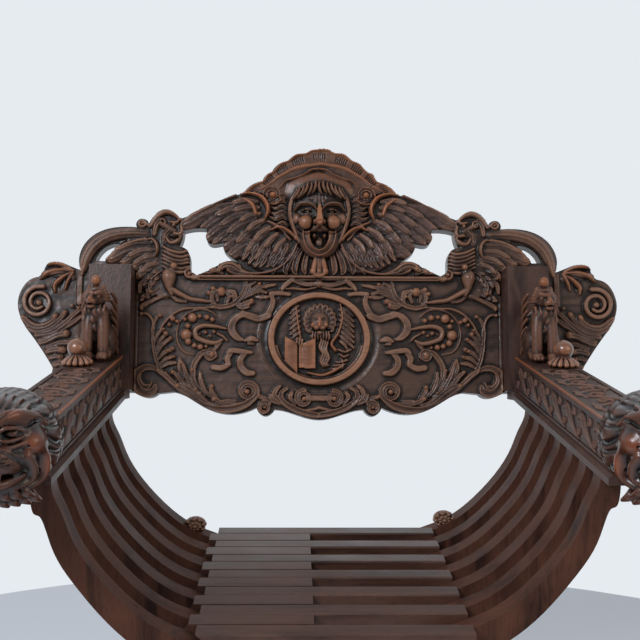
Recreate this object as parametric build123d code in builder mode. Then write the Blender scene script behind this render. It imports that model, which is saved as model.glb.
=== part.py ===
from build123d import *
import os
from math import cos, sin, tan, radians, pi

os.makedirs("parts", exist_ok=True)

# Savonarola chair of carved walnut: two sets of seven curved ribs cross on one rod,
# each set carries an arm, and the carved back with its two posts stands on brackets
# under the arms' rear ends and lifts off. Millimetres, +Z up, the sitter looks toward -Y.

# ---- Driving sizes --------------------------------------------------------------
arm_top = 652.0            # height of the arms' upper face
post_face = 209.5          # Y of the posts' front face at arm height
recline = 14.0             # lean of the posts and the back from upright, degrees

arm_inner = 236.0          # X of the arms' inner face
arm_wide = 56.0
arm_deep = 40.0            # height of the arm beam
arm_front = post_face - 440.0
strip_thick = 9.0          # plain strip under each arm
strip_inner = 231.0
strip_rear = post_face - 24.0
panel_sunk = 1.5           # sunk fields for the leaf carving on the arms
panel_edge = 5.0

post_inner = 229.0         # X of the rear posts' inner face
post_wide = 51.0
post_thick = 43.66         # front to back, square to the lean
post_rise = 101.0          # above arm height, along the lean
post_drop = 50.5           # below arm height, along the lean
bracket_reach = 34.0       # bracket under the post's foot, front to back
bracket_thick = 9.0
bracket_inset = 3.0        # bracket narrower than the post, each side
tongue_root = 18.0         # dovetail tongue behind each post
tongue_tip = 27.0
tongue_deep = 9.0
slide_gap = 0.3            # clearance round the tongues
face_gap = 0.2             # between post and back board

rib_thick = 24.0
rib_pitch = 50.0           # from rib to rib in one set
rib_count = 7
rib_rear_right = post_face - 87.0    # rear face of the hindmost rib, right arm's set
rib_rear_left = post_face - 112.0    # rear face of the hindmost rib, left arm's set
tenon_wide = 9.0           # tenons into the arms, kept clear of the arms' carved inner face
tenon_outward = 3.5
foot_tenon_wide = 12.0
tenon_thick = 18.0
tenon_into_arm = 14.0
tenon_into_runner = 18.0

rosette_x = 141.0          # knobs on the hindmost ribs beside the seat
rosette_z = arm_top - 177.0
rosette_radius = 14.0

pivot_z = arm_top - 272.0
pivot_radius = 9.0
seat_rod_x = 118.0
seat_rod_z = arm_top - 195.3
seat_rod_radius = 5.0
bore_gap = 0.05            # running fit of every rod in its bores
ride_gap = 0.3             # seat slats above the right-hand rod

slat_thick = 11.5
slat_left = -114.0         # upper left corner; the end slants along the ribs below it
slat_slant = 14.0
slat_right = 124.0
slat_under = seat_rod_z + seat_rod_radius + ride_gap
finger_right = -13.0
knuckle_radius = 10.5
batten_left = -70.0
batten_right = -40.0
batten_thick = 13.0

runner_x = 252.0           # centre line of the floor runners
runner_wide = 50.0
runner_high = 40.0
runner_front = post_face - 505.0
runner_rear = post_face + 8.0

board_thick = 20.0         # back board, before the carving on its face

# ---- Planes ---------------------------------------------------------------------
lean_cos = cos(radians(recline))
lean_sin = sin(radians(recline))
# Face of the back board: local X across, local Y up the lean, normal to the front.
back_face = Plane(
    origin=(0, post_face + 45.0, arm_top),
    x_dir=(1, 0, 0),
    z_dir=(0, -lean_cos, lean_sin),
)


def up_the_lean(rise):
    """Plane square to the lean at a given rise; its local Y points backward."""
    origin = back_face.from_local_coords((0, rise, 0))
    return Plane(origin=origin, x_dir=(1, 0, 0), z_dir=(0, lean_sin, lean_cos))


def upright(y_rear):
    """Upright plane whose extrusions run forward from y_rear."""
    return Plane.XZ.offset(-y_rear)


def flipped(runs):
    """The same runs of points on the other hand, in reverse order."""
    return [[(-x, y) for x, y in reversed(run)] for run in reversed(runs)]


def trace(runs):
    """Draws runs of points: straight for two points, a smooth curve for more."""
    for run in runs:
        if len(run) == 2:
            Line(run[0], run[1])
        else:
            Spline(*run)


def keep(part, name):
    part.label = name
    export_step(part, f"parts/{name}.step")


# ---- Ribs -----------------------------------------------------------------------
# Below the pivot the curve is drawn for a drop of leg_drawn and a spread of spread_drawn.
leg_drawn = 340.0
spread_drawn = 252.0
drop = (pivot_z - runner_high) / leg_drawn
spread = runner_x / spread_drawn
# Centre line of one rib of the right arm's set, with its half width at each point.
rib_line = [
    (arm_inner + 5.0, arm_top - arm_deep - strip_thick, 9.0),
    (arm_inner - 2.5, arm_top - 74.0, 9.0),
    (arm_inner - 11.0, arm_top - 97.0, 9.2),
    (arm_inner - 27.5, arm_top - 126.5, 9.6),
    (189.5, arm_top - 150.0, 10.2),
    (169.5, arm_top - 170.0, 11.0),
    (146.0, arm_top - 186.5, 12.0),
    (seat_rod_x, seat_rod_z - 3.7, 13.5),
    (62.0, arm_top - 232.0, 16.0),
    (0.0, pivot_z, 18.0),
    (-62.0 * spread, pivot_z - 40.5 * drop, 16.0),
    (-118.0 * spread, pivot_z - 80.0 * drop, 14.5),
    (-168.0 * spread, pivot_z - 124.0 * drop, 14.0),
    (-207.0 * spread, pivot_z - 172.0 * drop, 14.0),
    (-233.0 * spread, pivot_z - 226.0 * drop, 14.0),
    (-248.0 * spread, pivot_z - 285.0 * drop, 14.5),
    (-runner_x, runner_high, 16.0),
]


def rib_edges():
    """Upper and lower edge of the rib, square to its centre line."""
    upper, lower = [], []
    last = len(rib_line) - 1
    for i, (x, z, half) in enumerate(rib_line):
        if i in (0, last):
            dx, dz = 0.0, -1.0
        else:
            dx = rib_line[i + 1][0] - rib_line[i - 1][0]
            dz = rib_line[i + 1][1] - rib_line[i - 1][1]
        size = (dx * dx + dz * dz) ** 0.5
        nx, nz = dz / size, -dx / size
        upper.append((x + nx * half, z + nz * half))
        lower.append((x - nx * half, z - nz * half))
    return upper, lower


upper_edge, lower_edge = rib_edges()


def make_rib(side, y_rear):
    """side +1 for the right arm's set, -1 for the left arm's."""
    edge_a = [(side * x, z) for x, z in upper_edge]
    edge_b = [(side * x, z) for x, z in lower_edge]
    top_x = side * (rib_line[0][0] + tenon_outward)
    foot_x = -side * runner_x
    with BuildPart() as rib:
        with BuildSketch(upright(y_rear)):
            with BuildLine():
                Spline(*edge_a, tangents=[(0, -1), (0, -1)])
                Line(edge_a[-1], edge_b[-1])
                Spline(*reversed(edge_b), tangents=[(0, 1), (0, 1)])
                Line(edge_b[0], edge_a[0])
            make_face()
        extrude(amount=rib_thick)
        # Tenons into the arm above and the runner below.
        y_mid = y_rear - rib_thick / 2
        rise = strip_thick + tenon_into_arm
        with Locations((top_x, y_mid, rib_line[0][1] + rise / 2)):
            Box(tenon_wide, tenon_thick, rise)
        with Locations((foot_x, y_mid, runner_high - tenon_into_runner / 2)):
            Box(foot_tenon_wide, tenon_thick, tenon_into_runner)
        # Bores for the pivot rod and the seat rod.
        with BuildSketch(upright(y_rear)):
            with Locations((0, pivot_z)):
                Circle(pivot_radius + bore_gap)
            with Locations((side * seat_rod_x, seat_rod_z)):
                Circle(seat_rod_radius + bore_gap)
        extrude(amount=rib_thick, mode=Mode.SUBTRACT)
    return rib.part


right_rears = [rib_rear_right - rib_pitch * k for k in range(rib_count)]
left_rears = [rib_rear_left - rib_pitch * k for k in range(rib_count)]
ribs_right = [make_rib(1, y) for y in right_rears]
ribs_left = [make_rib(-1, y) for y in left_rears]
for k in range(rib_count):
    keep(ribs_right[k], f"rib_right_{k + 1}")
    keep(ribs_left[k], f"rib_left_{k + 1}")

# ---- Rods -----------------------------------------------------------------------
layers_rear = rib_rear_right
layers_front = left_rears[-1] - rib_thick
pivot_cap_gap = 0.5
cap_thick = 14.0
cap_radius = 29.0

with BuildPart() as pivot_rod:
    with BuildSketch(upright(layers_rear + cap_thick / 2)):
        with Locations((0, pivot_z)):
            Circle(pivot_radius)
    extrude(amount=layers_rear - layers_front + cap_thick)
keep(pivot_rod.part, "pivot_rod")


def make_seat_rod(side, y_rear, y_front):
    with BuildPart() as rod:
        with BuildSketch(upright(y_rear)):
            with Locations((side * seat_rod_x, seat_rod_z)):
                Circle(seat_rod_radius)
        extrude(amount=y_rear - y_front)
        ends = rod.edges().filter_by(GeomType.CIRCLE)
        chamfer(ends, length=0.8)
    return rod.part


rod_proud = 2.0
keep(
    make_seat_rod(-1, left_rears[0] + rod_proud, layers_front - rod_proud),
    "seat_rod_left",
)
keep(
    make_seat_rod(1, layers_rear + rod_proud, right_rears[-1] - rib_thick - rod_proud),
    "seat_rod_right",
)


def make_pivot_rosette(y_rear, forward):
    """Carved boss over an end of the pivot rod; forward is +1 at the front."""
    petals = 10
    petal_radius = 7.0
    y_seat = y_rear if forward > 0 else y_rear - cap_thick
    with BuildPart() as boss:
        with BuildSketch(upright(y_rear)):
            with Locations((0, pivot_z)):
                Circle(cap_radius - 5)
                with PolarLocations(cap_radius - petal_radius, petals):
                    Circle(petal_radius)
        extrude(amount=cap_thick)
        face_y = y_rear - cap_thick if forward > 0 else y_rear
        with Locations((0, face_y, pivot_z)):
            Sphere(11.0)
        with BuildSketch(upright(y_seat + (0 if forward > 0 else cap_thick / 2))):
            with Locations((0, pivot_z)):
                Circle(pivot_radius + bore_gap)
        extrude(amount=cap_thick / 2, mode=Mode.SUBTRACT)
        # The dome stays outside the socket.
        with BuildSketch(upright(y_rear + (0 if forward > 0 else -cap_thick + cap_thick / 2))):
            with Locations((0, pivot_z)):
                Circle(pivot_radius + bore_gap)
        extrude(amount=cap_thick / 2, mode=Mode.SUBTRACT)
    return boss.part


keep(make_pivot_rosette(layers_front, 1), "pivot_rosette_front")
keep(
    make_pivot_rosette(layers_rear + pivot_cap_gap + cap_thick, -1),
    "pivot_rosette_rear",
)

# ---- Arms, strips, posts --------------------------------------------------------


def tenon_spots(side, rears):
    return [(side * (rib_line[0][0] + tenon_outward), y - rib_thick / 2) for y in rears]


def make_arm(side, rears):
    mid_x = side * (arm_inner + arm_wide / 2)
    rear_drop = arm_deep * tan(radians(recline))
    side_plane = Plane.YZ.offset(mid_x - arm_wide / 2)
    with BuildPart() as arm:
        with BuildSketch(side_plane):
            with BuildLine():
                Polyline(
                    (arm_front, arm_top - arm_deep),
                    (arm_front, arm_top),
                    (post_face, arm_top),
                    (post_face - rear_drop, arm_top - arm_deep),
                    close=True,
                )
            make_face()
        extrude(amount=arm_wide)
        # Sunk fields for the leaf carving: top and inner face.
        field_front = arm_front + 6.0
        field_rear = post_face - 108.0
        field_long = field_rear - field_front
        with Locations((mid_x, field_front + field_long / 2, arm_top)):
            Box(arm_wide - 2 * panel_edge, field_long, 2 * panel_sunk, mode=Mode.SUBTRACT)
        inner_long = post_face - 16.0 - field_front
        inner_mid = field_front + inner_long / 2
        with Locations((side * arm_inner, inner_mid, arm_top - 21.5)):
            Box(2 * panel_sunk, inner_long, arm_deep - 9, mode=Mode.SUBTRACT)
        # Mortises for the ribs.
        with BuildSketch(Plane.XY.offset(arm_top - arm_deep)):
            with Locations(*tenon_spots(side, rears)):
                Rectangle(tenon_wide, tenon_thick)
        extrude(amount=tenon_into_arm, mode=Mode.SUBTRACT)
    return arm.part


def make_strip(side, rears):
    outer = arm_inner + arm_wide
    wide = outer - strip_inner
    mid_x = side * (strip_inner + wide / 2)
    long = strip_rear - arm_front
    with BuildPart() as strip:
        with BuildSketch(Plane.XY.offset(arm_top - arm_deep - strip_thick)):
            with Locations((mid_x, arm_front + long / 2)):
                Rectangle(wide, long)
        extrude(amount=strip_thick)
        inner_edges = strip.edges().filter_by(Axis.Y).sort_by(Axis.X)
        picked = inner_edges[:2] if side > 0 else inner_edges[-2:]
        chamfer(picked.sort_by(Axis.Z)[-1], length=3.0)
        with BuildSketch(Plane.XY.offset(arm_top - arm_deep - strip_thick)):
            with Locations(*tenon_spots(side, rears)):
                Rectangle(tenon_wide, tenon_thick)
        extrude(amount=strip_thick, mode=Mode.SUBTRACT)
    return strip.part


def make_post(side):
    mid_x = side * (post_inner + post_wide / 2)
    high = post_rise + post_drop
    with BuildPart() as post:
        with BuildSketch(back_face.offset(face_gap)):
            with Locations((mid_x, (post_rise - post_drop) / 2)):
                Rectangle(post_wide, high)
        extrude(amount=post_thick - face_gap)
        # Dovetail tongue for the back board to drop onto.
        with BuildSketch(up_the_lean(-post_drop)):
            with BuildLine():
                Polyline(
                    (mid_x - tongue_root / 2, -face_gap - 1.0),
                    (mid_x + tongue_root / 2, -face_gap - 1.0),
                    (mid_x + tongue_root / 2, 0),
                    (mid_x + tongue_tip / 2, tongue_deep),
                    (mid_x - tongue_tip / 2, tongue_deep),
                    (mid_x - tongue_root / 2, 0),
                    close=True,
                )
            make_face()
        extrude(amount=high)
    return post.part


def make_post_bracket(side):
    """Bracket under the arm's rear end, reaching back beneath the post's foot."""
    wide = post_wide - 2 * bracket_inset
    arm_under = arm_top - arm_deep
    arm_end = post_face - arm_deep * tan(radians(recline))
    foot_front = back_face.from_local_coords((0, -post_drop, post_thick))
    foot_rear = back_face.from_local_coords((0, -post_drop, post_thick - bracket_reach))
    inner_x = side * (post_inner + post_wide / 2) - wide / 2
    with BuildPart() as bracket:
        with BuildSketch(Plane.YZ.offset(inner_x)):
            with BuildLine():
                Polyline(
                    (strip_rear, arm_under),
                    (arm_end, arm_under),
                    (foot_front.Y, foot_front.Z),
                    (foot_rear.Y, foot_rear.Z),
                    (foot_rear.Y, foot_rear.Z - bracket_thick),
                    (strip_rear, arm_under - strip_thick),
                    close=True,
                )
            make_face()
        extrude(amount=wide)
    return bracket.part


for side, name, rears in ((1, "right", right_rears), (-1, "left", left_rears)):
    keep(make_arm(side, rears), f"arm_{name}")
    keep(make_strip(side, rears), f"arm_strip_{name}")
    keep(make_post(side), f"post_{name}")
    keep(make_post_bracket(side), f"post_bracket_{name}")

# ---- Carved figures on the arms -------------------------------------------------
head_x = arm_inner + arm_wide / 2 - 2.0
head_z = arm_top - 8.0


def make_lion_head(side):
    """Lion's head closing the front of an arm, mouth open."""
    x = side * head_x
    with BuildPart() as head:
        with BuildSketch(upright(arm_front)):
            with Locations((x, head_z)):
                Ellipse(44.0, 42.0)
        extrude(amount=26.0)
        rim = head.edges().filter_by(Plane.XZ).sort_by(Axis.Y)[0]
        fillet(rim, radius=10.0)
        with Locations((x, arm_front - 42.0, head_z + 4.0)):
            Sphere(38.0)
        # Muzzle, lower jaw, nose, brow and ears.
        with BuildSketch(upright(arm_front - 30.0)):
            with Locations((x, head_z - 3.0)):
                Ellipse(26.0, 17.0)
            with Locations((x, head_z - 32.0)):
                Ellipse(20.0, 10.0)
        extrude(amount=68.0)
        with Locations((x - 13, arm_front - 90, head_z - 6), (x + 13, arm_front - 90, head_z - 6)):
            Sphere(13.0)
        with Locations((x, arm_front - 96.0, head_z + 9.0)):
            Sphere(8.0)
        with Locations((x - 14, arm_front - 66, head_z + 22), (x + 14, arm_front - 66, head_z + 22)):
            Sphere(14.0)
        with Locations((x - 33, arm_front - 34, head_z + 27), (x + 33, arm_front - 34, head_z + 27)):
            Sphere(11.0)
        # Open mouth.
        with BuildSketch(upright(arm_front - 64.0)):
            with Locations((x, head_z - 21.0)):
                Ellipse(17.0, 5.5)
        extrude(amount=60.0, mode=Mode.SUBTRACT)
        # Nothing of the head lies behind the end of the arm.
        with Locations((x, arm_front + 30.0, head_z)):
            Box(140.0, 60.0, 140.0, mode=Mode.SUBTRACT)
    return head.part


def make_seated_lion(side):
    """Small lion sitting upright against the post, a ball on its head."""
    x = side * (arm_inner + 25.0)
    y = post_face - 33.0
    with BuildPart() as lion:
        with BuildSketch(Plane.XY.offset(arm_top)):
            with Locations((x, y)):
                RectangleRounded(44.0, 58.0, 6.0)
        extrude(amount=8.0)
        with Locations((x, y + 4.0, arm_top + 26.0)):
            Sphere(22.0)
        with BuildSketch(Plane.XY.offset(arm_top + 6.0)):
            with Locations((x, y)):
                Ellipse(17.0, 20.0)
        with BuildSketch(Plane.XY.offset(arm_top + 62.0)):
            with Locations((x, y + 4.0)):
                Ellipse(15.0, 15.0)
        loft()
        with Locations((x, y, arm_top + 66.0)):
            Sphere(19.0)
        with Locations((x, y - 14.0, arm_top + 62.0)):
            Box(18.0, 22.0, 14.0)
        with Locations((x, y + 2.0, arm_top + 90.0)):
            Sphere(9.0)
        with Locations((x - 11.0, y - 18.0, arm_top + 20.0), (x + 11.0, y - 18.0, arm_top + 20.0)):
            Cylinder(6.0, 34.0)
        # Trimmed to the arm below and the post behind.
        with Locations((x, y, arm_top - 20.0)):
            Box(120.0, 160.0, 40.0, mode=Mode.SUBTRACT)
        with BuildSketch(back_face.offset(post_thick)):
            with Locations((x, 50.0)):
                Rectangle(120.0, 240.0)
        extrude(amount=-60.0, mode=Mode.SUBTRACT)
    return lion.part


def make_lion_paw(side):
    """Domed paw with fanned toes, standing on the arm in front of the lion."""
    x = side * (arm_inner + 39.0)
    y = post_face - 84.0
    toe_ring = 13.0
    with BuildPart() as paw:
        with Locations((x, y + 2.0, arm_top + 16.0)):
            Sphere(14.5)
        with BuildSketch(Plane.XY.offset(arm_top)):
            with Locations((x, y)):
                Circle(15.5)
        with BuildSketch(Plane.XY.offset(arm_top + 14.0)):
            with Locations((x, y + 2.0)):
                Circle(10.0)
        loft()
        with Locations((x, y, arm_top + 4.0)):
            with PolarLocations(toe_ring, 5, start_angle=200, angular_range=140, endpoint=True):
                Sphere(5.5)
        with Locations((x, y, arm_top - 20.0)):
            Box(80.0, 80.0, 40.0, mode=Mode.SUBTRACT)
    return paw.part


for side, name in ((1, "right"), (-1, "left")):
    keep(make_lion_head(side), f"lion_head_{name}")
    keep(make_seated_lion(side), f"seated_lion_{name}")
    keep(make_lion_paw(side), f"lion_paw_{name}")

# ---- Rosettes on the hindmost ribs, just above the seat -------------------------


def make_seat_rosette(side, y_rear, rib):
    """Carved knob on the rib's inner face, no thicker than the rib."""
    x = side * rosette_x
    y = y_rear - rib_thick / 2
    with BuildPart() as knob:
        with Locations((x, y, rosette_z)):
            Sphere(rosette_radius)
        for y_end in (y_rear + rosette_radius, y_rear - rib_thick - rosette_radius):
            with Locations((x, y_end, rosette_z)):
                Box(80.0, 2 * rosette_radius, 80.0, mode=Mode.SUBTRACT)
        add(rib, mode=Mode.SUBTRACT)
    return knob.part.solids().sort_by(SortBy.VOLUME)[-1]


keep(make_seat_rosette(1, right_rears[0], ribs_right[0]), "seat_rosette_right")
keep(make_seat_rosette(-1, left_rears[0], ribs_left[0]), "seat_rosette_left")

# ---- Runners --------------------------------------------------------------------


def make_runner(side, rears):
    """Floor runner under the feet of one set; side is the side it stands on."""
    x = side * runner_x
    y0 = runner_front
    y1 = runner_rear
    with BuildPart() as runner:
        with BuildSketch(Plane.YZ.offset(x - runner_wide / 2)):
            with BuildLine():
                Polyline((y0 + 14, 0), (y0 + 92, 0), (y0 + 112, 10), (y1 - 92, 10))
                Polyline((y1 - 92, 10), (y1 - 72, 0), (y1 - 8, 0), (y1, 10))
                Polyline((y1, 10), (y1 - 14, runner_high - 6), (y1 - 40, runner_high))
                Polyline((y1 - 40, runner_high), (y0 + 66, runner_high))
                Spline(
                    (y0 + 66, runner_high),
                    (y0 + 42, runner_high + 7),
                    (y0 + 16, runner_high - 4),
                    (y0, 14),
                    (y0 + 14, 0),
                )
            make_face()
        extrude(amount=runner_wide)
        # Grooves between the toes of the paw.
        groove_x = (x - 12.5, x, x + 12.5)
        for gx in groove_x:
            with Locations((gx, y0 - 2.0, 12.0)):
                Cylinder(4.0, 60.0, rotation=(20, 0, 0), mode=Mode.SUBTRACT)
        # Mortises for the ribs' feet.
        with BuildSketch(Plane.XY.offset(runner_high)):
            with Locations(*[(x, y - rib_thick / 2) for y in rears]):
                Rectangle(foot_tenon_wide, tenon_thick)
        extrude(amount=-tenon_into_runner, mode=Mode.SUBTRACT)
    return runner.part


keep(make_runner(1, left_rears), "runner_right")
keep(make_runner(-1, right_rears), "runner_left")

# ---- Seat -----------------------------------------------------------------------
seat_top = slat_under + slat_thick


def make_slat(y_rear):
    with BuildPart() as slat:
        with BuildSketch(upright(y_rear)):
            with BuildLine():
                Polyline(
                    (slat_left + slat_slant, slat_under),
                    (slat_right, slat_under),
                    (slat_right, seat_top),
                    (slat_left, seat_top),
                    close=True,
                )
            make_face()
        extrude(amount=rib_thick)
        top_edges = slat.edges().filter_by(Axis.X).group_by(Axis.Z)[-1]
        fillet(top_edges, radius=2.0)
    return slat.part


for k in range(rib_count):
    keep(make_slat(left_rears[k]), f"seat_slat_{k + 1}")

with BuildPart() as seat_comb:
    # Batten under the long slats.
    comb_long = left_rears[0] - layers_front
    with BuildSketch(upright(left_rears[0])):
        with Locations(((batten_left + batten_right) / 2, slat_under - batten_thick / 2)):
            Rectangle(batten_right - batten_left, batten_thick)
    extrude(amount=comb_long)
    # One finger in each gap of the left-hand ribs, its eye on the rod.
    for y in right_rears[1:]:
        with BuildSketch(upright(y)):
            with BuildLine():
                Polyline(
                    (-seat_rod_x, slat_under - batten_thick),
                    (batten_left, slat_under - batten_thick),
                    (batten_left, slat_under),
                    (finger_right, slat_under),
                    (finger_right, seat_top),
                    (-seat_rod_x - 4.0, seat_top),
                    (-seat_rod_x - 4.0, seat_rod_z),
                    (-seat_rod_x, seat_rod_z),
                    close=True,
                )
            make_face()
            with Locations((-seat_rod_x, seat_rod_z)):
                Circle(knuckle_radius)
        extrude(amount=rib_thick)
    for y in right_rears[1:]:
        with BuildSketch(upright(y)):
            with Locations((-seat_rod_x, seat_rod_z)):
                Circle(seat_rod_radius + bore_gap)
        extrude(amount=rib_thick, mode=Mode.SUBTRACT)
keep(seat_comb.part, "seat_comb")

# ---- Back board -----------------------------------------------------------------
# Right-hand outline from the top centre down to the bottom centre, across and up the
# lean, origin at arm height in the middle of the board.
outline_right = [
    [(0, 258), (9, 257), (18, 253.5)],
    [(18, 253.5), (30, 251.5), (40, 243.5)],
    [(40, 243.5), (52, 239), (60, 229)],
    [(60, 229), (67, 225), (72, 217)],
    [(72, 217), (86, 211.5), (97, 199.5)],
    [(97, 199.5), (112, 196.5), (140, 184), (160, 173.5), (175, 167)],
    [(175, 167), (184, 175), (194, 178), (206, 172.5), (214, 160.5)],
    [(214, 160.5), (219, 166.5), (226, 166.5), (230, 161), (229, 156)],
    [(229, 156), (250, 156.5), (270, 152.5), (288, 141.5), (299, 123), (300, 110), (296.5, 100.5)],
    [(296.5, 100.5), (306, 104), (320, 109.5), (342, 104.5)],
    [(342, 104.5), (344, 98), (350, 92)],
    [(350, 92), (362, 87), (371, 74), (374, 57), (369, 39), (352, 14), (336, -9), (328, -22)],
    [(328, -22), (327, -34), (318, -42), (304, -46)],
    [(304, -46), (296, -51)],
    [(296, -51), (229, -51)],
    [(229, -51), (219, -56), (210, -57.5), (199, -52.5)],
    [(199, -52.5), (180, -50.5)],
    [(180, -50.5), (164, -56), (146, -67), (128, -75), (110, -78), (92, -75.5), (77, -69.5)],
    [(77, -69.5), (73, -77), (66, -80), (59, -77), (55, -72)],
    [(55, -72), (38, -75), (20, -81), (0, -84.5)],
]
# Pierced opening between the wing and the griffin.
opening_right = [
    [(142, 154.5), (156, 154.8), (170, 152)],
    [(170, 152), (171, 143), (176, 131)],
    [(176, 131), (165, 126.5), (161.5, 115), (161, 103), (153, 95.5)],
    [(153, 95.5), (138, 101.5), (122, 110.5), (100, 111)],
    [(100, 111), (112, 119.5), (120, 129), (114, 138.5)],
    [(114, 138.5), (127, 135), (138, 136), (142, 143), (140.5, 148)],
    [(140.5, 148), (142, 154.5)],
]
# Pierced gap under the griffin's tail.
tail_gap_right = [
    [(249, 134.5), (262, 133.5), (273, 126), (280, 113)],
    [(280, 113), (268, 112.5)],
    [(268, 112.5), (260, 122), (249, 134.5)],
]

with BuildPart() as back_board:
    with BuildSketch(back_face):
        with BuildLine():
            trace(outline_right)
            trace(flipped(outline_right))
        make_face()
    extrude(amount=-board_thick)
    with BuildSketch(back_face) as pierced:
        for opening in (opening_right, tail_gap_right):
            for runs in (opening, flipped(opening)):
                with BuildLine():
                    trace(runs)
                make_face()
    extrude(amount=-board_thick, mode=Mode.SUBTRACT)
    # Dovetail grooves, open below, closed where the tongues end.
    for side in (-1, 1):
        mid = side * (post_inner + post_wide / 2)
        with BuildSketch(up_the_lean(-60.0)):
            with BuildLine():
                Polyline(
                    (mid - tongue_root / 2 - slide_gap, -1),
                    (mid + tongue_root / 2 + slide_gap, -1),
                    (mid + tongue_root / 2 + slide_gap, 0),
                    (mid + tongue_tip / 2 + slide_gap, tongue_deep + slide_gap),
                    (mid - tongue_tip / 2 - slide_gap, tongue_deep + slide_gap),
                    (mid - tongue_root / 2 - slide_gap, 0),
                    close=True,
                )
            make_face()
        extrude(amount=60.0 + post_rise, mode=Mode.SUBTRACT)
keep(back_board.part, "back_board")

# ---- Carving planted on the back board ------------------------------------------


def planted(runs, thick):
    """A carved piece of even thickness standing on the board's face."""
    with BuildPart() as piece:
        with BuildSketch(back_face):
            with BuildLine():
                trace(runs)
            make_face()
        extrude(amount=thick)
    return piece


wing_right = [
    [(62, 168), (60, 182), (70, 195), (84, 199), (96, 199)],
    [(96, 199), (112, 195.5), (140, 183), (158, 173.5), (168, 165)],
    [(168, 165), (168, 156)],
    [(168, 156), (144, 156)],
    [(144, 156), (141, 148)],
    [(141, 148), (140.5, 139), (130, 135), (121, 140)],
    [(121, 140), (117, 133)],
    [(117, 133), (118, 126), (106, 119), (92, 117)],
    [(92, 117), (78, 103), (58, 98), (40, 98)],
    [(40, 98), (27, 108), (24, 122)],
    [(24, 122), (30, 142), (44, 154), (62, 168)],
]
griffin_right = [
    [(172, 149), (177, 164), (190, 176), (204, 171), (212, 158)],
    [(212, 158), (250, 154.5), (270, 150.5), (286, 140), (297, 122), (296, 104)],
    [(296, 104), (290, 104)],
    [(290, 104), (285, 122), (275, 134), (258, 140), (240, 141)],
    [(240, 141), (252, 129), (262, 116), (238, 110)],
    [(238, 110), (226, 100), (222, 84), (208, 72)],
    [(208, 72), (192, 66), (178, 72)],
    [(178, 72), (184, 84), (181, 96), (171, 102)],
    [(171, 102), (164.5, 114), (168, 126), (178, 132)],
    [(178, 132), (172, 140), (172, 149)],
]
leaf_right = [
    [(296, 96), (308, 101), (322, 106), (336, 102.5)],
    [(336, 102.5), (338, 96), (345, 89)],
    [(345, 89), (360, 84), (370, 70), (370, 50), (362, 34), (346, 13), (330, -12), (320, -30)],
    [(320, -30), (308, -36), (296, -38)],
    [(296, -38), (296, 96)],
]

carving_thick = 9.0
for side, name in ((1, "right"), (-1, "left")):
    wing = wing_right if side > 0 else flipped(wing_right)
    griffin = griffin_right if side > 0 else flipped(griffin_right)
    leaf = leaf_right if side > 0 else flipped(leaf_right)
    keep(planted(wing, carving_thick + 3.0).part, f"crest_wing_{name}")
    keep(planted(griffin, carving_thick).part, f"griffin_{name}")
    with BuildPart() as ear:
        add(planted(leaf, 5.0).part)
        with BuildSketch(back_face):
            with Locations((side * 349.0, 62.0)):
                Circle(20.5)
                Circle(12.0, mode=Mode.SUBTRACT)
                Circle(7.5)
        extrude(amount=carving_thick)
    keep(ear.part, f"ear_leaf_{name}")

shell_right = [
    [(0, 256), (9, 255), (18, 251.5)],
    [(18, 251.5), (30, 249.5), (39, 242)],
    [(39, 242), (50, 237), (58.5, 227.5)],
    [(58.5, 227.5), (66, 223), (71, 215)],
    [(71, 215), (85, 209.5), (94, 200)],
    [(94, 200), (84, 200)],
    [(84, 200), (70, 197.5), (61, 187)],
    [(61, 187), (42, 187)],
    [(42, 187), (40, 205), (26, 216), (0, 219)],
]
crest_shell = planted(shell_right + flipped(shell_right), 14.0)
keep(crest_shell.part, "crest_shell")

ledge_half = 166.0
ledge_rise = 91.0          # up the lean from arm height
ledge_high = 6.0
ledge_deep = 9.0
ledge_scroll_radius = 6.5
ledge_scroll_x = ledge_half - 5.0
ledge_scroll_rise = ledge_rise + 5.0
with BuildPart() as ledge:
    with BuildSketch(back_face):
        with Locations((0, ledge_rise)):
            Rectangle(2 * ledge_half, ledge_high)
        with Locations((-ledge_scroll_x, ledge_scroll_rise), (ledge_scroll_x, ledge_scroll_rise)):
            Circle(ledge_scroll_radius)
    extrude(amount=ledge_deep)
keep(ledge.part, "ledge_moulding")

ring_rise = 15.5
ring_across = 64.0
ring_up = 58.5
ring_band = 9.0
with BuildPart() as medallion_ring:
    with BuildSketch(back_face):
        with Locations((0, ring_rise)):
            Ellipse(ring_across, ring_up)
            Ellipse(ring_across - ring_band, ring_up - ring_band, mode=Mode.SUBTRACT)
    extrude(amount=9.0)
    outer_edges = medallion_ring.faces().sort_by(Axis.Y)[0].edges()
    fillet(outer_edges, radius=3.0)
keep(medallion_ring.part, "medallion_ring")

# Winged lion with book and tower, standing inside the ring.
medallion_outline = [
    [(-40, -8), (-41, 16), (-38, 18)],
    [(-38, 18), (-27, 12)],
    [(-27, 12), (-32, 34), (-27, 58)],
    [(-27, 58), (-14, 56), (0, 60), (14, 56), (26, 59)],
    [(26, 59), (34, 50), (38, 34)],
    [(38, 34), (47, 24), (46, 8), (34, -6), (28, -20)],
    [(28, -20), (10, -23), (-10, -24), (-26, -23)],
    [(-26, -23), (-40, -8)],
]
medallion_lion = planted(medallion_outline, 8.0)
keep(medallion_lion.part, "medallion_lion")

# Knotted ribbon over the medallion, between ring and ledge.
ribbon_runs = [
    [(0, 76), (16, 76.5), (30, 78), (44, 75)],
    [(44, 75), (46, 80), (40, 87.5)],
    [(40, 87.5), (0, 87.5)],
]
ribbon = planted(ribbon_runs + flipped(ribbon_runs), 7.0)
keep(ribbon.part, "ribbon_knot")

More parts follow.
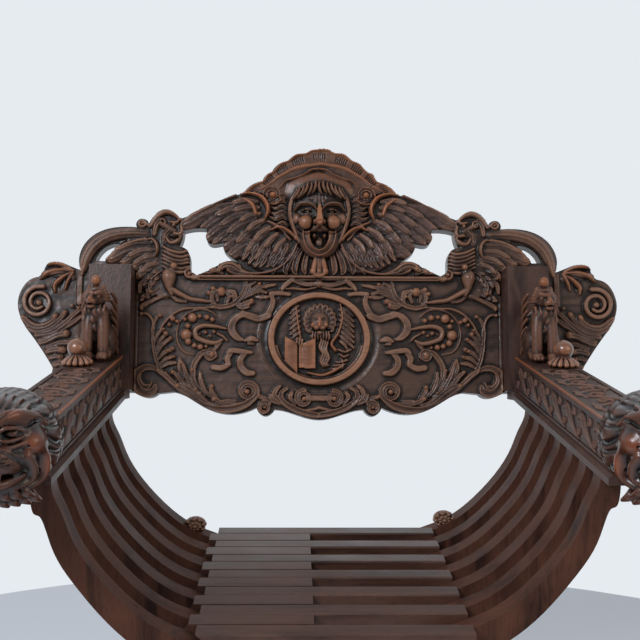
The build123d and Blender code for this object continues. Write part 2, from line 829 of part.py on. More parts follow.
# Grotesque mask under the shell: brow, cheeks, nose and gaping mouth.
mask_runs = [
    [(0, 217), (24, 214), (38, 202), (40, 186)],
    [(40, 186), (36, 166), (27, 150)],
    [(27, 150), (21, 132), (12, 120), (0, 116)],
]
with BuildPart() as mask:
    with BuildSketch(back_face):
        with BuildLine():
            trace(mask_runs)
            trace(flipped(mask_runs))
        make_face()
    extrude(amount=16.0)
    nose = [back_face.from_local_coords((0, v, n)) for v, n in ((190, 30), (174, 34), (163, 36))]
    with Locations(back_face.from_local_coords((0, 180, 14))):
        Sphere(27.0)
    with Locations(*nose):
        Sphere(6.0)
    cheeks = [back_face.from_local_coords((u, 163, 27)) for u in (-16, 16)]
    with Locations(*cheeks):
        Sphere(9.0)
    brows = [back_face.from_local_coords((u, 194, 27)) for u in (-15, 15)]
    with Locations(*brows):
        Sphere(9.5)
    # Open mouth.
    with BuildSketch(back_face.offset(6.0)):
        with Locations((0, 138)):
            Ellipse(12.0, 14.0)
    extrude(amount=60.0, mode=Mode.SUBTRACT)
    # Seated on the board and clear of the shell and wings beside it.
    with BuildSketch(back_face):
        with Locations((0, 170)):
            Rectangle(300, 240)
    extrude(amount=-60.0, mode=Mode.SUBTRACT)
    add(crest_shell.part, mode=Mode.SUBTRACT)
    add(planted(wing_right, carving_thick + 3.0).part, mode=Mode.SUBTRACT)
    add(planted(flipped(wing_right), carving_thick + 3.0).part, mode=Mode.SUBTRACT)
keep(mask.part.solids().sort_by(SortBy.VOLUME)[-1], "crest_mask")
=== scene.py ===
import math

import bpy
import numpy as np
from mathutils import Matrix, Vector


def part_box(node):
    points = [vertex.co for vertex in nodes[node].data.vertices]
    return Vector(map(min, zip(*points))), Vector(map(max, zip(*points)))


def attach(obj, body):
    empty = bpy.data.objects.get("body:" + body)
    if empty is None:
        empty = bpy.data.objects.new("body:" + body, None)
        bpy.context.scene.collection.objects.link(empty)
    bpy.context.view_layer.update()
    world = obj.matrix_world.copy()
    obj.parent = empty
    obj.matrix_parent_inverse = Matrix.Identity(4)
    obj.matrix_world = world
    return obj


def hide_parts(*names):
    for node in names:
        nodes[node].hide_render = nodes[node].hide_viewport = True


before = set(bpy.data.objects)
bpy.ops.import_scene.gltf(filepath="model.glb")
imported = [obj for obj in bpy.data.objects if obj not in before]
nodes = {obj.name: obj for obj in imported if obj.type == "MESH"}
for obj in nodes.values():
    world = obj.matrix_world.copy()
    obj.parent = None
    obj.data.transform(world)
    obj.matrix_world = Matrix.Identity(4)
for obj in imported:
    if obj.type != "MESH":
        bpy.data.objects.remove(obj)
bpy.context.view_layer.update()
hand = np.random.default_rng(1880)

# ---- Sizes of the plain chair that its carving has to fit (mm) ----
ARM_FRONT, ARM_LONG, ARM_TOP = -230.5, 440.0, 652.0
ARM_INNER, ARM_WIDE, ARM_SUNK = 236.0, 56.0, 1.5
# The posts' slots across the back, with half a millimetre and more to spare on every side.
POST_INNER, POST_OUTER, POST_RISE = 228.0, 281.0, 101.5
# The medallion's oval: half width, half height, and how high its middle lies.
OVAL_ACROSS, OVAL_UP, OVAL_MIDDLE = 64.0, 58.5, 15.5

# ---- The back's own plane: u across, v up the lean, n out of the board's face (mm) ----
LEAN = math.radians(14.0)
BACK_FOOT = np.array([0.0, 254.5, ARM_TOP])
BACK_U = np.array([1.0, 0.0, 0.0])
BACK_V = np.array([0.0, math.sin(LEAN), math.cos(LEAN)])
BACK_N = np.array([0.0, -math.cos(LEAN), math.sin(LEAN)])


def on_back(u, v, n):
    """Millimetres on the leaning back to metres in the room."""
    return (BACK_FOOT + np.multiply.outer(u, BACK_U) + np.multiply.outer(v, BACK_V)
            + np.multiply.outer(n, BACK_N)) / 1000.0


# ---- Carving tools: a flat ground whose height is raised and cut, stroke by stroke ----
# Millimetres along a stroke from one cut to the next, and how far the left one strays from its twin.
CHISEL_STEP, HAND_WAVER = 1.3, 0.5
# How many millimetres round a place decide whether it stands high: in relief, and in the round.
RELIEF_REACH, ROUND_REACH = 3.4, 2.6
# The height of a stroke where it doesn't reach, far under any ground.
NO_STROKE = -99.0


def gouge_path(rows):
    """A smooth line through rows of (u, v, half width, height)."""
    rows = np.array(rows, float)
    if len(rows) < 3:
        count = max(2, int(np.hypot(*(rows[-1] - rows[0])[:2]) / CHISEL_STEP))
        return rows[0] + (rows[-1] - rows[0]) * np.linspace(0, 1, count + 1)[:, None]
    ends = np.vstack([2 * rows[0] - rows[1], rows, 2 * rows[-1] - rows[-2]])
    out = []
    for a, b, c, d in zip(ends[:-3], ends[1:-2], ends[2:-1], ends[3:]):
        count = max(2, int(np.ceil(np.linalg.norm((c - b)[:2]) / CHISEL_STEP)))
        t = (np.arange(count) / count)[:, None]
        out.append(0.5 * (2 * b + (c - a) * t + (2 * a - 5 * b + 4 * c - d) * t ** 2
                          + (3 * b - a - 3 * c + d) * t ** 3))
    out.append(rows[-1:])
    return np.vstack(out)


# Each kind of stroke's height across its half width x, from 0 on its spine to 1 at its edge.
def sect_round(x, side, along):
    return np.sqrt(np.clip(1 - x * x, 0, 1))


def sect_soft(x, side, along):
    return 0.5 + 0.5 * np.cos(np.pi * np.clip(x, 0, 1))


def sect_flat(x, side, along):
    return np.clip((1 - x) / 0.28, 0, 1) ** 0.5


def sect_hollow(x, side, along):
    """A strap with raised rims and a dished middle."""
    return np.clip((1 - x) / 0.22, 0, 1) ** 0.6 * (0.62 + 0.38 * np.clip(x / 0.72, 0, 1) ** 2)


def sect_vein(x, side, along):
    """A leaf lobe, round with a cut vein."""
    return np.sqrt(np.clip(1 - x * x, 0, 1)) - 0.30 * np.exp(-(x / 0.17) ** 2)


def sect_twin(x, side, along):
    """A lobe with three fine flutes."""
    return np.sqrt(np.clip(1 - x * x, 0, 1)) * (0.80 + 0.20 * np.cos(x * 9.0))


def sect_feather(x, side, along):
    """A feather: one side lies under its neighbour, barbs slant from the shaft."""
    tilt = 0.80 + 0.20 * x * side
    barbs = 0.012 * np.sin(along * 34.0 + x * 9.0)
    shaft = 0.09 * np.exp(-(x / 0.15) ** 2)
    return np.clip((1 - x) / 0.30, 0, 1) ** 0.5 * (tilt + barbs * np.clip(x * 3, 0, 1) + shaft)


# How much fuller the chisel leaves each kind of stroke than its first line.
FULLER = {sect_round: 1.18, sect_vein: 1.62, sect_hollow: 1.18, sect_twin: 1.15}


class Carving:
    """Heights over a rectangular ground, with the name of the piece on top at every place."""

    def __init__(self, low, high, pitch, ground):
        self.pitch = pitch
        self.low = np.array(low, float)
        self.shape = tuple(int(round((high[k] - low[k]) / pitch)) + 1 for k in (1, 0))
        self.u = low[0] + pitch * np.arange(self.shape[1])
        self.v = low[1] + pitch * np.arange(self.shape[0])
        self.h = np.full(self.shape, float(ground))
        self.owner = np.zeros(self.shape, int)
        self.names = ["ground"]
        # Warmer tint at each place, taken from glow as strokes are laid: partly worn, partly a painted
        # highlight.
        self.warm = np.zeros(self.shape)
        self.glow = 0.0

    def key(self, name):
        if name not in self.names:
            self.names.append(name)
        return self.names.index(name)

    def window(self, low, high):
        i0 = int(np.clip(np.floor((low[0] - self.low[0]) / self.pitch), 0, self.shape[1] - 1))
        i1 = int(np.clip(np.ceil((high[0] - self.low[0]) / self.pitch) + 1, 1, self.shape[1]))
        j0 = int(np.clip(np.floor((low[1] - self.low[1]) / self.pitch), 0, self.shape[0] - 1))
        j1 = int(np.clip(np.ceil((high[1] - self.low[1]) / self.pitch) + 1, 1, self.shape[0]))
        return slice(j0, j1), slice(i0, i1)

    def reach(self, path):
        """Relative distance, side, place along and height of the nearest spot of a path."""
        wide = path[:, 2].max() + self.pitch
        js, iz = self.window(path[:, :2].min(0) - wide, path[:, :2].max(0) + wide)
        size = (js.stop - js.start, iz.stop - iz.start)
        best = np.full(size, 9.0)
        side, along, height = np.ones(size), np.zeros(size), np.zeros(size)
        total = max(len(path) - 1, 1)
        for start in range(0, len(path) - 1, 10):
            part = path[start:start + 11]
            a, b = part[:-1], part[1:]
            step = b - a
            span = np.maximum((step[:, :2] ** 2).sum(1), 1e-9)
            wide = part[:, 2].max() + self.pitch
            jj, ii = self.window(part[:, :2].min(0) - wide, part[:, :2].max(0) + wide)
            if jj.stop <= jj.start or ii.stop <= ii.start:
                continue
            uu, vv = np.meshgrid(self.u[ii], self.v[jj])
            du, dv = uu[..., None] - a[:, 0], vv[..., None] - a[:, 1]
            t = np.clip((du * step[:, 0] + dv * step[:, 1]) / span, 0, 1)
            ru, rv = du - t * step[:, 0], dv - t * step[:, 1]
            width = np.maximum(a[:, 2] + t * step[:, 2], 0.05)
            x2 = (ru * ru + rv * rv) / width ** 2
            near = x2.argmin(-1)
            pick = tuple(np.indices(near.shape)) + (near,)
            x = np.sqrt(x2[pick])
            inner = (slice(jj.start - js.start, jj.stop - js.start),
                     slice(ii.start - iz.start, ii.stop - iz.start))
            closer = x < best[inner]
            turn = np.sign(step[near, 0] * dv[pick] - step[near, 1] * du[pick])
            place = (start + near + t[pick]) / total
            rise = a[near, 3] + t[pick] * step[near, 3]
            for store, value in ((best, x), (side, turn), (along, place), (height, rise)):
                store[inner][closer] = value[closer]
        return js, iz, best, side, along, height

    def raise_path(self, path, section, name=None):
        """Wood left standing along a path, where it is higher than what is there."""
        js, iz, x, side, along, height = self.reach(path)
        new = np.where(x < 1, height * section(np.minimum(x, 1), side, along), NO_STROKE)
        self.put(js, iz, new, name)

    def put(self, js, iz, new, name):
        taller = new > self.h[js, iz]
        self.h[js, iz] = np.where(taller, new, self.h[js, iz])
        self.warm[js, iz] = np.where(taller, self.glow, self.warm[js, iz])
        if name is not None:
            self.owner[js, iz] = np.where(taller, self.key(name), self.owner[js, iz])

    def cut_path(self, path):
        """A groove: the fourth column is its depth."""
        js, iz, x, side, along, depth = self.reach(path)
        self.h[js, iz] -= np.where(x < 1, depth * (1 - x * x), 0)

    def dome(self, u, v, ru, rv, foot, rise, name=None, power=0.5):
        """A round or oval swelling; a power near 1 makes it a cone's soft tip, 0.4 a full cushion."""
        js, iz = self.window((u - ru, v - rv), (u + ru, v + rv))
        uu, vv = np.meshgrid(self.u[iz], self.v[js])
        q = ((uu - u) / ru) ** 2 + ((vv - v) / rv) ** 2
        new = np.where(q < 1, foot + rise * np.clip(1 - q, 0, 1) ** power, NO_STROKE)
        self.put(js, iz, new, name)

    def scoop(self, u, v, ru, rv, depth):
        js, iz = self.window((u - ru, v - rv), (u + ru, v + rv))
        uu, vv = np.meshgrid(self.u[iz], self.v[js])
        q = ((uu - u) / ru) ** 2 + ((vv - v) / rv) ** 2
        self.h[js, iz] -= np.where(q < 1, depth * np.clip(1 - q, 0, 1), 0)


def blurred(field, radius):
    """Three box passes, close to a Gaussian of that radius in cells."""
    radius = max(1, int(round(radius)))
    for _ in range(3):
        for axis in range(field.ndim):
            pad = [(0, 0)] * field.ndim
            pad[axis] = (radius + 1, radius)
            run = np.cumsum(np.pad(field, pad, mode="edge"), axis=axis)
            take = [slice(None)] * field.ndim
            drop = [slice(None)] * field.ndim
            take[axis] = slice(2 * radius + 1, None)
            drop[axis] = slice(None, -(2 * radius + 1))
            field = (run[tuple(take)] - run[tuple(drop)]) / (2 * radius + 1)
    return field


def hand_waver(shape, cells, size):
    """Slow unevenness of hand work."""
    coarse = hand.normal(0, 1, (shape[0] // cells + 3, shape[1] // cells + 3))
    fine = np.kron(coarse, np.ones((cells, cells)))[:shape[0], :shape[1]]
    return size * blurred(fine, cells // 2 + 1)


# ---- Ornament: what a carver repeats ----

def volute_rows(cu, cv, outer, inner, start, turns, wide, tip, rise, sink=0.0):
    """A spiral strap from its outside end to its eye; start in degrees, turns signed."""
    count = max(8, int(abs(turns) * 14))
    t = np.linspace(0, 1, count)
    angle = np.radians(start) + t * turns * 2 * np.pi
    radius = outer + (inner - outer) * t ** 0.85
    return [(cu + r * math.cos(a), cv + r * math.sin(a), wide + (tip - wide) * s,
             rise - sink * s) for r, a, s in zip(radius, angle, t)]


class Half:
    """Draws each stroke on the right, and again on the left with the hand's small differences."""

    def __init__(self, face):
        self.face = face

    def sides(self, name):
        for side in (1, -1):
            shift = hand.normal(0, HAND_WAVER, 2) if side < 0 else np.zeros(2)
            grow = 1 + hand.normal(0, 0.04) if side < 0 else 1.0
            label = name if name is None or not name.endswith("_") else (
                name + ("right" if side > 0 else "left"))
            yield side, shift, grow, label

    def leafy(self, path, name):
        """Small lobes along both edges of a leaf, so that its outline is cut like acanthus."""
        line = path.copy()
        for place, flank in ((0.34, 1), (0.44, -1), (0.60, 1), (0.70, -1), (0.84, 1)):
            at = min(int(place * len(line)), len(line) - 2)
            u, v, wide, high = line[at]
            du, dv = line[at + 1, :2] - line[at, :2]
            size = max(math.hypot(du, dv), 1e-6)
            du, dv = du / size, dv / size
            out_u, out_v = -dv * flank, du * flank
            reach = wide * 1.25
            self.stroke([(u, v, wide * 0.55, high * 0.80),
                         (u + (out_u * 0.8 + du * 0.5) * reach, v + (out_v * 0.8 + dv * 0.5) * reach,
                          wide * 0.50, high * 0.90),
                         (u + (out_u * 1.0 + du * 1.3) * reach, v + (out_v * 1.0 + dv * 1.3) * reach,
                          wide * 0.26, high * 0.86)], sect_soft, name)

    def stroke(self, rows, section=sect_round, name=None):
        path = gouge_path(rows)
        if section is sect_vein and not str(name).startswith(("crest", "griffin")):
            self.leafy(path, name)
        for side, shift, grow, label in self.sides(name):
            own = path.copy()
            own[:, 0] = side * own[:, 0] + shift[0]
            own[:, 1] += shift[1]
            own[:, 2] *= grow * FULLER.get(section, 1.0)
            if side < 0:
                mirrored = lambda x, s, a: section(x, -s, a)
                self.face.raise_path(own, mirrored, label)
            else:
                self.face.raise_path(own, section, label)

    def groove(self, rows):
        path = gouge_path(rows)
        for side, shift, grow, _ in self.sides(None):
            own = path.copy()
            own[:, 0] = side * own[:, 0]
            self.face.cut_path(own)

    def bud(self, u, v, r, foot, rise, name=None):
        # Buds get at least this warmer tint: partly worn, partly a painted highlight.
        kept, self.face.glow = self.face.glow, max(self.face.glow, 0.18)
        for side, shift, grow, label in self.sides(name):
            self.face.dome(side * u + shift[0], v + shift[1], r * grow, r * grow, foot, rise, label)
        self.face.glow = kept

    def leaf(self, spine, wide, rise, lobes, name):
        """An acanthus spray: lobes fan off a spine, hollow between, with a veined rib."""
        line = gouge_path([(u, v, 1, 1) for u, v in spine])
        length = np.r_[0, np.cumsum(np.hypot(*np.diff(line[:, :2], axis=0).T))]
        for k in range(lobes):
            for flank in (1, -1):
                s = (k + (0.35 if flank > 0 else 0.7)) / (lobes + 0.4)
                at = np.searchsorted(length, s * length[-1])
                at = min(max(at, 1), len(line) - 2)
                here = line[at, :2]
                ahead = line[at + 1, :2] - line[at - 1, :2]
                ahead = ahead / max(np.hypot(*ahead), 1e-6)
                off = np.array([-ahead[1], ahead[0]]) * flank
                reach = wide * (0.65 + 0.5 * math.sin(math.pi * min(s + 0.12, 1)))
                lean = math.radians(55 - 18 * s)
                go = ahead * math.cos(lean) + off * math.sin(lean)
                hook = ahead * math.cos(lean - 0.7) + off * math.sin(lean - 0.7)
                mid = here + go * reach * 0.55
                tip = mid + hook * reach * 0.55
                fat = reach * 0.24 + 0.5
                self.stroke([(*here, fat * 0.6, rise * 0.45), (*mid, fat, rise * 0.85),
                             (*tip, fat * 0.55, rise * 1.0)], sect_vein, name)
        rib = [(u, v, max(0.9, wide * 0.16 * (1.25 - i / max(len(spine) - 1, 1))),
                rise * (0.85 + 0.2 * (i / max(len(spine) - 1, 1)))) for i, (u, v) in enumerate(spine)]
        self.stroke(rib, sect_round, name)
        u, v = spine[-1]
        self.bud(u, v, wide * 0.24 + 0.8, rise * 0.4, rise * 0.75, name)

    def volute(self, cu, cv, outer, start, turns, wide, rise, name, eye, stem=()):
        """A strap rolled up round a bud, on a stem where one is given."""
        rows = list(stem) + volute_rows(cu, cv, outer - wide, eye + wide * 0.7, start,
                                        turns, wide, wide * 0.6, rise, rise * 0.12)
        self.stroke(rows, sect_hollow if wide > 2.2 else sect_round, name)
        self.bud(cu, cv, eye, rise * 0.35, rise * 0.75, name)

    def feather(self, root, tip, wide, low, high, name, bend):
        (u0, v0), (u1, v1) = root, tip
        wide = wide * 1.18
        du, dv = u1 - u0, v1 - v0
        mu, mv = (u0 + u1) / 2 - dv * bend, (v0 + v1) / 2 + du * bend
        self.stroke([(u0, v0, wide * 0.7, low), (mu, mv, wide, (low + high) / 2),
                     (u1 - du * 0.12, v1 - dv * 0.12, wide * 0.88, high),
                     (u1, v1, wide * 0.55, high * 0.94)], sect_feather, name)


def front_rim(node):
    """The rim of a CAD piece's front face on the back, as (u, v) segments in mm."""
    mesh = nodes[node].data
    points = np.empty(len(mesh.vertices) * 3)
    mesh.vertices.foreach_get("co", points)
    points = points.reshape(-1, 3) * 1000.0 - BACK_FOOT
    n = points @ BACK_N
    front = n > n.max() - 0.02
    seen = {}
    for face in mesh.polygons:
        ring = list(face.vertices)
        if all(front[k] for k in ring):
            places = [tuple(np.round(points[k], 3)) for k in ring]
            for a, b in zip(places, places[1:] + places[:1]):
                key = (min(a, b), max(a, b))
                seen[key] = seen.get(key, 0) + 1
    rim = np.array([key for key, uses in seen.items() if uses == 1])
    return np.stack([rim[..., 0], rim @ BACK_V], -1)


def inside(face, rim):
    """Which grid places lie within a rim, row by row."""
    out = np.zeros(face.shape, bool)
    a, b = rim[:, 0], rim[:, 1]
    for j, v in enumerate(face.v + 1e-4):
        cross = (a[:, 1] > v) != (b[:, 1] > v)
        if cross.any():
            p, q = a[cross], b[cross]
            hits = np.sort(p[:, 0] + (v - p[:, 1]) / (q[:, 1] - p[:, 1]) * (q[:, 0] - p[:, 0]))
            out[j] = np.searchsorted(hits, face.u) % 2 == 1
    return out


def nearest_on(rim, spots):
    """The place on a rim nearest to each spot."""
    a, step = rim[:, 0], rim[:, 1] - rim[:, 0]
    span = np.maximum((step ** 2).sum(1), 1e-9)
    out = np.empty_like(spots)
    for start in range(0, len(spots), 400):
        p = spots[start:start + 400]
        t = np.clip(((p[:, None] - a) * step).sum(2) / span, 0, 1)
        q = a + t[..., None] * step
        k = ((p[:, None] - q) ** 2).sum(2).argmin(1)
        out[start:start + 400] = q[np.arange(len(p)), k]
    return out


def make_mesh(name, points, faces, wear, warm, material):
    """A mesh object from metres, quads or triangles, and two masks its finish follows: high and low places in
    the relief (worn tone, painted highlight and painted shade), and the warmer tint.
    """
    faces = np.asarray(faces)
    mesh = bpy.data.meshes.new(name)
    mesh.vertices.add(len(points))
    mesh.vertices.foreach_set("co", np.asarray(points, np.float32).ravel())
    mesh.loops.add(faces.size)
    mesh.loops.foreach_set("vertex_index", faces.astype(np.int32).ravel())
    mesh.polygons.add(len(faces))
    mesh.polygons.foreach_set("loop_start", np.arange(len(faces), dtype=np.int32) * faces.shape[1])
    mesh.polygons.foreach_set("use_smooth", np.full(len(faces), True))
    mesh.update(calc_edges=True)
    for title, values in (("wear", wear), ("warm", warm)):
        layer = mesh.attributes.new(title, "FLOAT", "POINT")
        layer.data.foreach_set("value", np.asarray(values, np.float32))
    mesh.validate()
    obj = bpy.data.objects.new(name, mesh)
    bpy.context.scene.collection.objects.link(obj)
    obj.data.materials.append(material)
    return obj


def carved_pieces(face, used, rim, place, floor, materials, shade_and_wear_mm=2.2):
    """Cuts a carving into one mesh per named piece, with walls down to the board at every rim."""
    # Relief higher than its surroundings marks high places (worn tone and painted highlight); relief lower
    # than them marks hollows, which are given painted shade.
    wear = np.clip((face.h - blurred(face.h, RELIEF_REACH / face.pitch)) / shade_and_wear_mm, -1, 1)
    warm = blurred(face.warm, 1.5)
    uu, vv = np.meshgrid(face.u, face.v)
    cells = used[:-1, :-1] & used[1:, :-1] & used[:-1, 1:] & used[1:, 1:]
    touch = np.zeros(face.shape, int)
    for dj in (0, 1):
        for di in (0, 1):
            touch[dj:dj + cells.shape[0], di:di + cells.shape[1]] += cells
    edge = (touch > 0) & (touch < 4)
    spots = np.stack([uu[edge], vv[edge]], 1)
    if rim is not None:
        snapped = nearest_on(rim, spots)
        close = np.hypot(*(snapped - spots).T) < 1.6 * face.pitch
        spots[close] = snapped[close]
        uu[edge], vv[edge] = spots[:, 0], spots[:, 1]
    owner = face.owner[:-1, :-1]
    made = {}
    for k, name in enumerate(face.names):
        mine = cells & (owner == k)
        if not mine.any():
            continue
        j, i = np.nonzero(mine)
        width = face.shape[1]
        corner = j * width + i
        quads = np.stack([corner, corner + 1, corner + width + 1, corner + width], 1)
        # Rim walls: an edge of one of these cells with nothing beyond it.
        padded = np.pad(cells, 1)
        walls = []
        for dj, di, first, second in ((-1, 0, 0, 1), (0, 1, 1, 2), (1, 0, 2, 3), (0, -1, 3, 0)):
            bare = ~padded[j + 1 + dj, i + 1 + di]
            walls.append(quads[bare][:, [first, second]])
        walls = np.vstack(walls)
        ids, inverse = np.unique(np.r_[quads.ravel(), walls.ravel()], return_inverse=True)
        quads = inverse[:quads.size].reshape(-1, 4)
        walls = inverse[quads.size:].reshape(-1, 2)
        flat_u, flat_v = uu.ravel()[ids], vv.ravel()[ids]
        top = place(flat_u, flat_v, face.h.ravel()[ids])
        foot_ids, foot_inverse = np.unique(walls.ravel(), return_inverse=True)
        foot = place(flat_u[foot_ids], flat_v[foot_ids], np.full(len(foot_ids), floor))
        foot_of = foot_inverse.reshape(-1, 2) + len(ids)
        wall_quads = np.stack([walls[:, 1], walls[:, 0], foot_of[:, 0], foot_of[:, 1]], 1)
        points = np.vstack([top, foot])
        faces = np.vstack([quads, wall_quads])
        # Painted shade: the feet of the rim walls are set 0.2 lower on the mask, so they are darker where
        # they meet the board.
        shade = np.r_[wear.ravel()[ids], wear.ravel()[ids][foot_ids] - 0.2]
        glow = np.r_[warm.ravel()[ids], warm.ravel()[ids][foot_ids]]
        made[name] = make_mesh(name, points, faces, shade, glow, materials[name])
    return made


# ---- Modelling in the round: a block of clay whose skin is taken off at the end ----
# Millimetres from any form at which a new block stands empty.
EMPTY = 30.0


class Clay:
    def __init__(self, low, high, pitch):
        self.pitch = pitch
        self.low = np.array(low, float)
        self.axes = [np.arange(a, b + pitch, pitch) for a, b in zip(low, high)]
        self.f = np.full([len(a) for a in self.axes], EMPTY, np.float32)
        self.glows = []

    def glow(self, centre, reach, strength=1.0):
        """A place tinted a warmer brown, partly worn and partly a painted highlight."""
        self.glows.append((np.array(centre, float), reach, strength))

    def room(self, low, high):
        cut = []
        for k in range(3):
            a = int(np.clip((low[k] - self.low[k]) // self.pitch, 0, len(self.axes[k]) - 1))
            b = int(np.clip((high[k] - self.low[k]) // self.pitch + 2, 1, len(self.axes[k])))
            cut.append(slice(a, max(b, a + 1)))
        grids = np.meshgrid(*[self.axes[k][cut[k]] for k in range(3)], indexing="ij")
        return tuple(cut), grids

    def join(self, cut, d, blend):
        """Presses a form on, its seam smoothed over about the blend's width."""
        old = self.f[cut]
        h = np.clip(0.5 + 0.5 * (old - d) / blend, 0, 1)
        self.f[cut] = old + (d - old) * h - blend * h * (1 - h)

    def take(self, cut, d, blend):
        """Scrapes a form out, its rim eased in the same way."""
        old = self.f[cut]
        h = np.clip(0.5 + 0.5 * (old + d) / blend, 0, 1)
        self.f[cut] = np.where(h < 1, old + (-d - old) * (1 - h), old) + blend * h * (1 - h)

    def ball_field(self, centre, radii, blend):
        centre, radii = np.array(centre, float), np.array(radii, float) * np.ones(3)
        room = radii.max() + blend + 2 * self.pitch
        cut, (x, y, z) = self.room(centre - room, centre + room)
        x, y, z = x - centre[0], y - centre[1], z - centre[2]
        k0 = np.sqrt((x / radii[0]) ** 2 + (y / radii[1]) ** 2 + (z / radii[2]) ** 2)
        k1 = np.sqrt((x / radii[0] ** 2) ** 2 + (y / radii[1] ** 2) ** 2 + (z / radii[2] ** 2) ** 2)
        return cut, k0 * (k0 - 1) / np.maximum(k1, 1e-6)

    def ball(self, centre, radii, blend):
        self.join(*self.ball_field(centre, radii, blend), blend)

    def hollow(self, centre, radii, blend):
        self.take(*self.ball_field(centre, radii, blend), blend)

    def limb_field(self, rows, blend):
        rows = np.array(rows, float)
        if len(rows) > 2:
            ends = np.vstack([2 * rows[0] - rows[1], rows, 2 * rows[-1] - rows[-2]])
            out = []
            for a, b, c, d in zip(ends[:-3], ends[1:-2], ends[2:-1], ends[3:]):
                t = (np.arange(4) / 4)[:, None]
                out.append(0.5 * (2 * b + (c - a) * t + (2 * a - 5 * b + 4 * c - d) * t ** 2
                                  + (3 * b - a - 3 * c + d) * t ** 3))
            rows = np.vstack(out + [rows[-1:]])
        room = rows[:, 3].max() + blend + 2 * self.pitch
        cut, (x, y, z) = self.room(rows[:, :3].min(0) - room, rows[:, :3].max(0) + room)
        best = np.full(x.shape, EMPTY, np.float32)
        for a, b in zip(rows[:-1], rows[1:]):
            step = b - a
            span = max((step[:3] ** 2).sum(), 1e-9)
            dx, dy, dz = x - a[0], y - a[1], z - a[2]
            t = np.clip((dx * step[0] + dy * step[1] + dz * step[2]) / span, 0, 1)
            far = np.sqrt((dx - t * step[0]) ** 2 + (dy - t * step[1]) ** 2 + (dz - t * step[2]) ** 2)
            best = np.minimum(best, far - (a[3] + t * step[3]))
        return cut, best

    def limb(self, rows, blend):
        """A tapering roll of clay through rows of (x, y, z, half width)."""
        self.join(*self.limb_field(rows, blend), blend)

    def groove(self, rows, blend):
        self.take(*self.limb_field(rows, blend), blend)

    def lock(self, rows, spread, blend):
        """A lock of hair: three strands lying side by side and a hollow between them."""
        rows = np.array(rows, float)
        along = rows[-1, :3] - rows[0, :3]
        side = np.cross(along, rows[len(rows) // 2, :3] - np.array([0.0, 40.0, 0.0]))
        side = side / max(np.linalg.norm(side), 1e-6)
        for k in (-1, 0, 1):
            own = rows.copy()
            taper = np.linspace(0.7, 1.0, len(rows))[:, None]
            own[:, :3] += side * k * spread * taper
            own[:, 3] *= 0.62 if k else 0.8
            self.limb(own, blend)

    def skin(self, name, box, material, mirror, to_rear):
        """Takes the skin off the block and seats it in its CAD piece's box (metres)."""
        f = np.pad(self.f[1:-1, 1:-1, 1:-1], 1, constant_values=5.0)
        solid = f < 0
        corners = [f[i:f.shape[0] - 1 + i, j:f.shape[1] - 1 + j, k:f.shape[2] - 1 + k]
                   for i in (0, 1) for j in (0, 1) for k in (0, 1)]
        count = sum((c < 0).astype(np.int8) for c in corners)
        active = (count > 0) & (count < 8)
        index = np.full(active.shape, -1)
        index[active] = np.arange(active.sum())
        place = np.stack(np.nonzero(active), 1).astype(float)
        total, hits = np.zeros_like(place), np.zeros(len(place))
        values = [c[active] for c in corners]
        spot = [(i, j, k) for i in (0, 1) for j in (0, 1) for k in (0, 1)]
        for a in range(8):
            for b in range(a + 1, 8):
                apart = np.abs(np.array(spot[a]) - spot[b])
                if apart.sum() != 1:
                    continue
                cross = (values[a] < 0) != (values[b] < 0)
                t = values[a][cross] / (values[a][cross] - values[b][cross])
                total[cross] += np.array(spot[a]) + t[:, None] * (np.array(spot[b]) - spot[a])
                hits[cross] += 1
        place += total / hits[:, None]
        quads = []
        for axis in range(3):
            one = [slice(None)] * 3
            two = [slice(None)] * 3
            one[axis], two[axis] = slice(None, -1), slice(1, None)
            change = solid[tuple(one)] != solid[tuple(two)]
            at = np.stack(np.nonzero(change), 1)
            other = [k for k in range(3) if k != axis]
            ok = (at[:, other[0]] > 0) & (at[:, other[1]] > 0)
            ok &= (at[:, other[0]] < index.shape[other[0]]) & (at[:, other[1]] < index.shape[other[1]])
            at = at[ok]
            ring = []
            for p, q in ((1, 1), (0, 1), (0, 0), (1, 0)):
                spot_at = at.copy()
                spot_at[:, other[0]] -= p
                spot_at[:, other[1]] -= q
                ring.append(index[tuple(spot_at.T)])
            ring = np.stack(ring, 1)
            out = solid[tuple(at.T)]
            if axis == 1:
                out = ~out
            ring[~out] = ring[~out][:, ::-1]
            quads.append(ring)
        quads = np.vstack(quads)
        quads = quads[(quads >= 0).all(1)]
        soft = blurred(f.astype(float), ROUND_REACH / self.pitch)
        near = tuple(np.clip(np.round(place).astype(int), 0, np.array(f.shape) - 1).T)
        # The same mask in the round: hollows get painted shade, high places a worn tone and painted
        # highlight.
        wear = np.clip((soft[near] - f[near]) / 1.3, -1, 1)
        points = self.low + place * self.pitch
        warm = np.zeros(len(points))
        for centre, reach, strength in self.glows:
            far = np.linalg.norm(points - centre, axis=1) / reach
            warm = np.maximum(warm, strength * np.clip(1.4 - 1.4 * far, 0, 1))
        if mirror:
            points[:, 0] *= -1
            quads = quads[:, ::-1]
        unit = (points - points.min(0)) / (points.max(0) - points.min(0))
        # The block's y runs to the chair's front, which is the room's -Y.
        if not to_rear:
            unit[:, 1] = 1 - unit[:, 1]
            quads = quads[:, ::-1]
        points = box[0] + unit * (box[1] - box[0])
        return make_mesh(name, points, quads, wear, warm, material)


# ---- Finishes ----
# What walnut shows at each size (mm): its flowing figure, pores, clouds of stain, and the tool's marks.
FIGURE_SIZE, PORE_SIZE, CLOUD_SIZE, TOOL_SIZE = 18.18, 1.111, 71.4, 3.846
# How long figure and pores run along the grain, against across it.
ALONG = 10.0


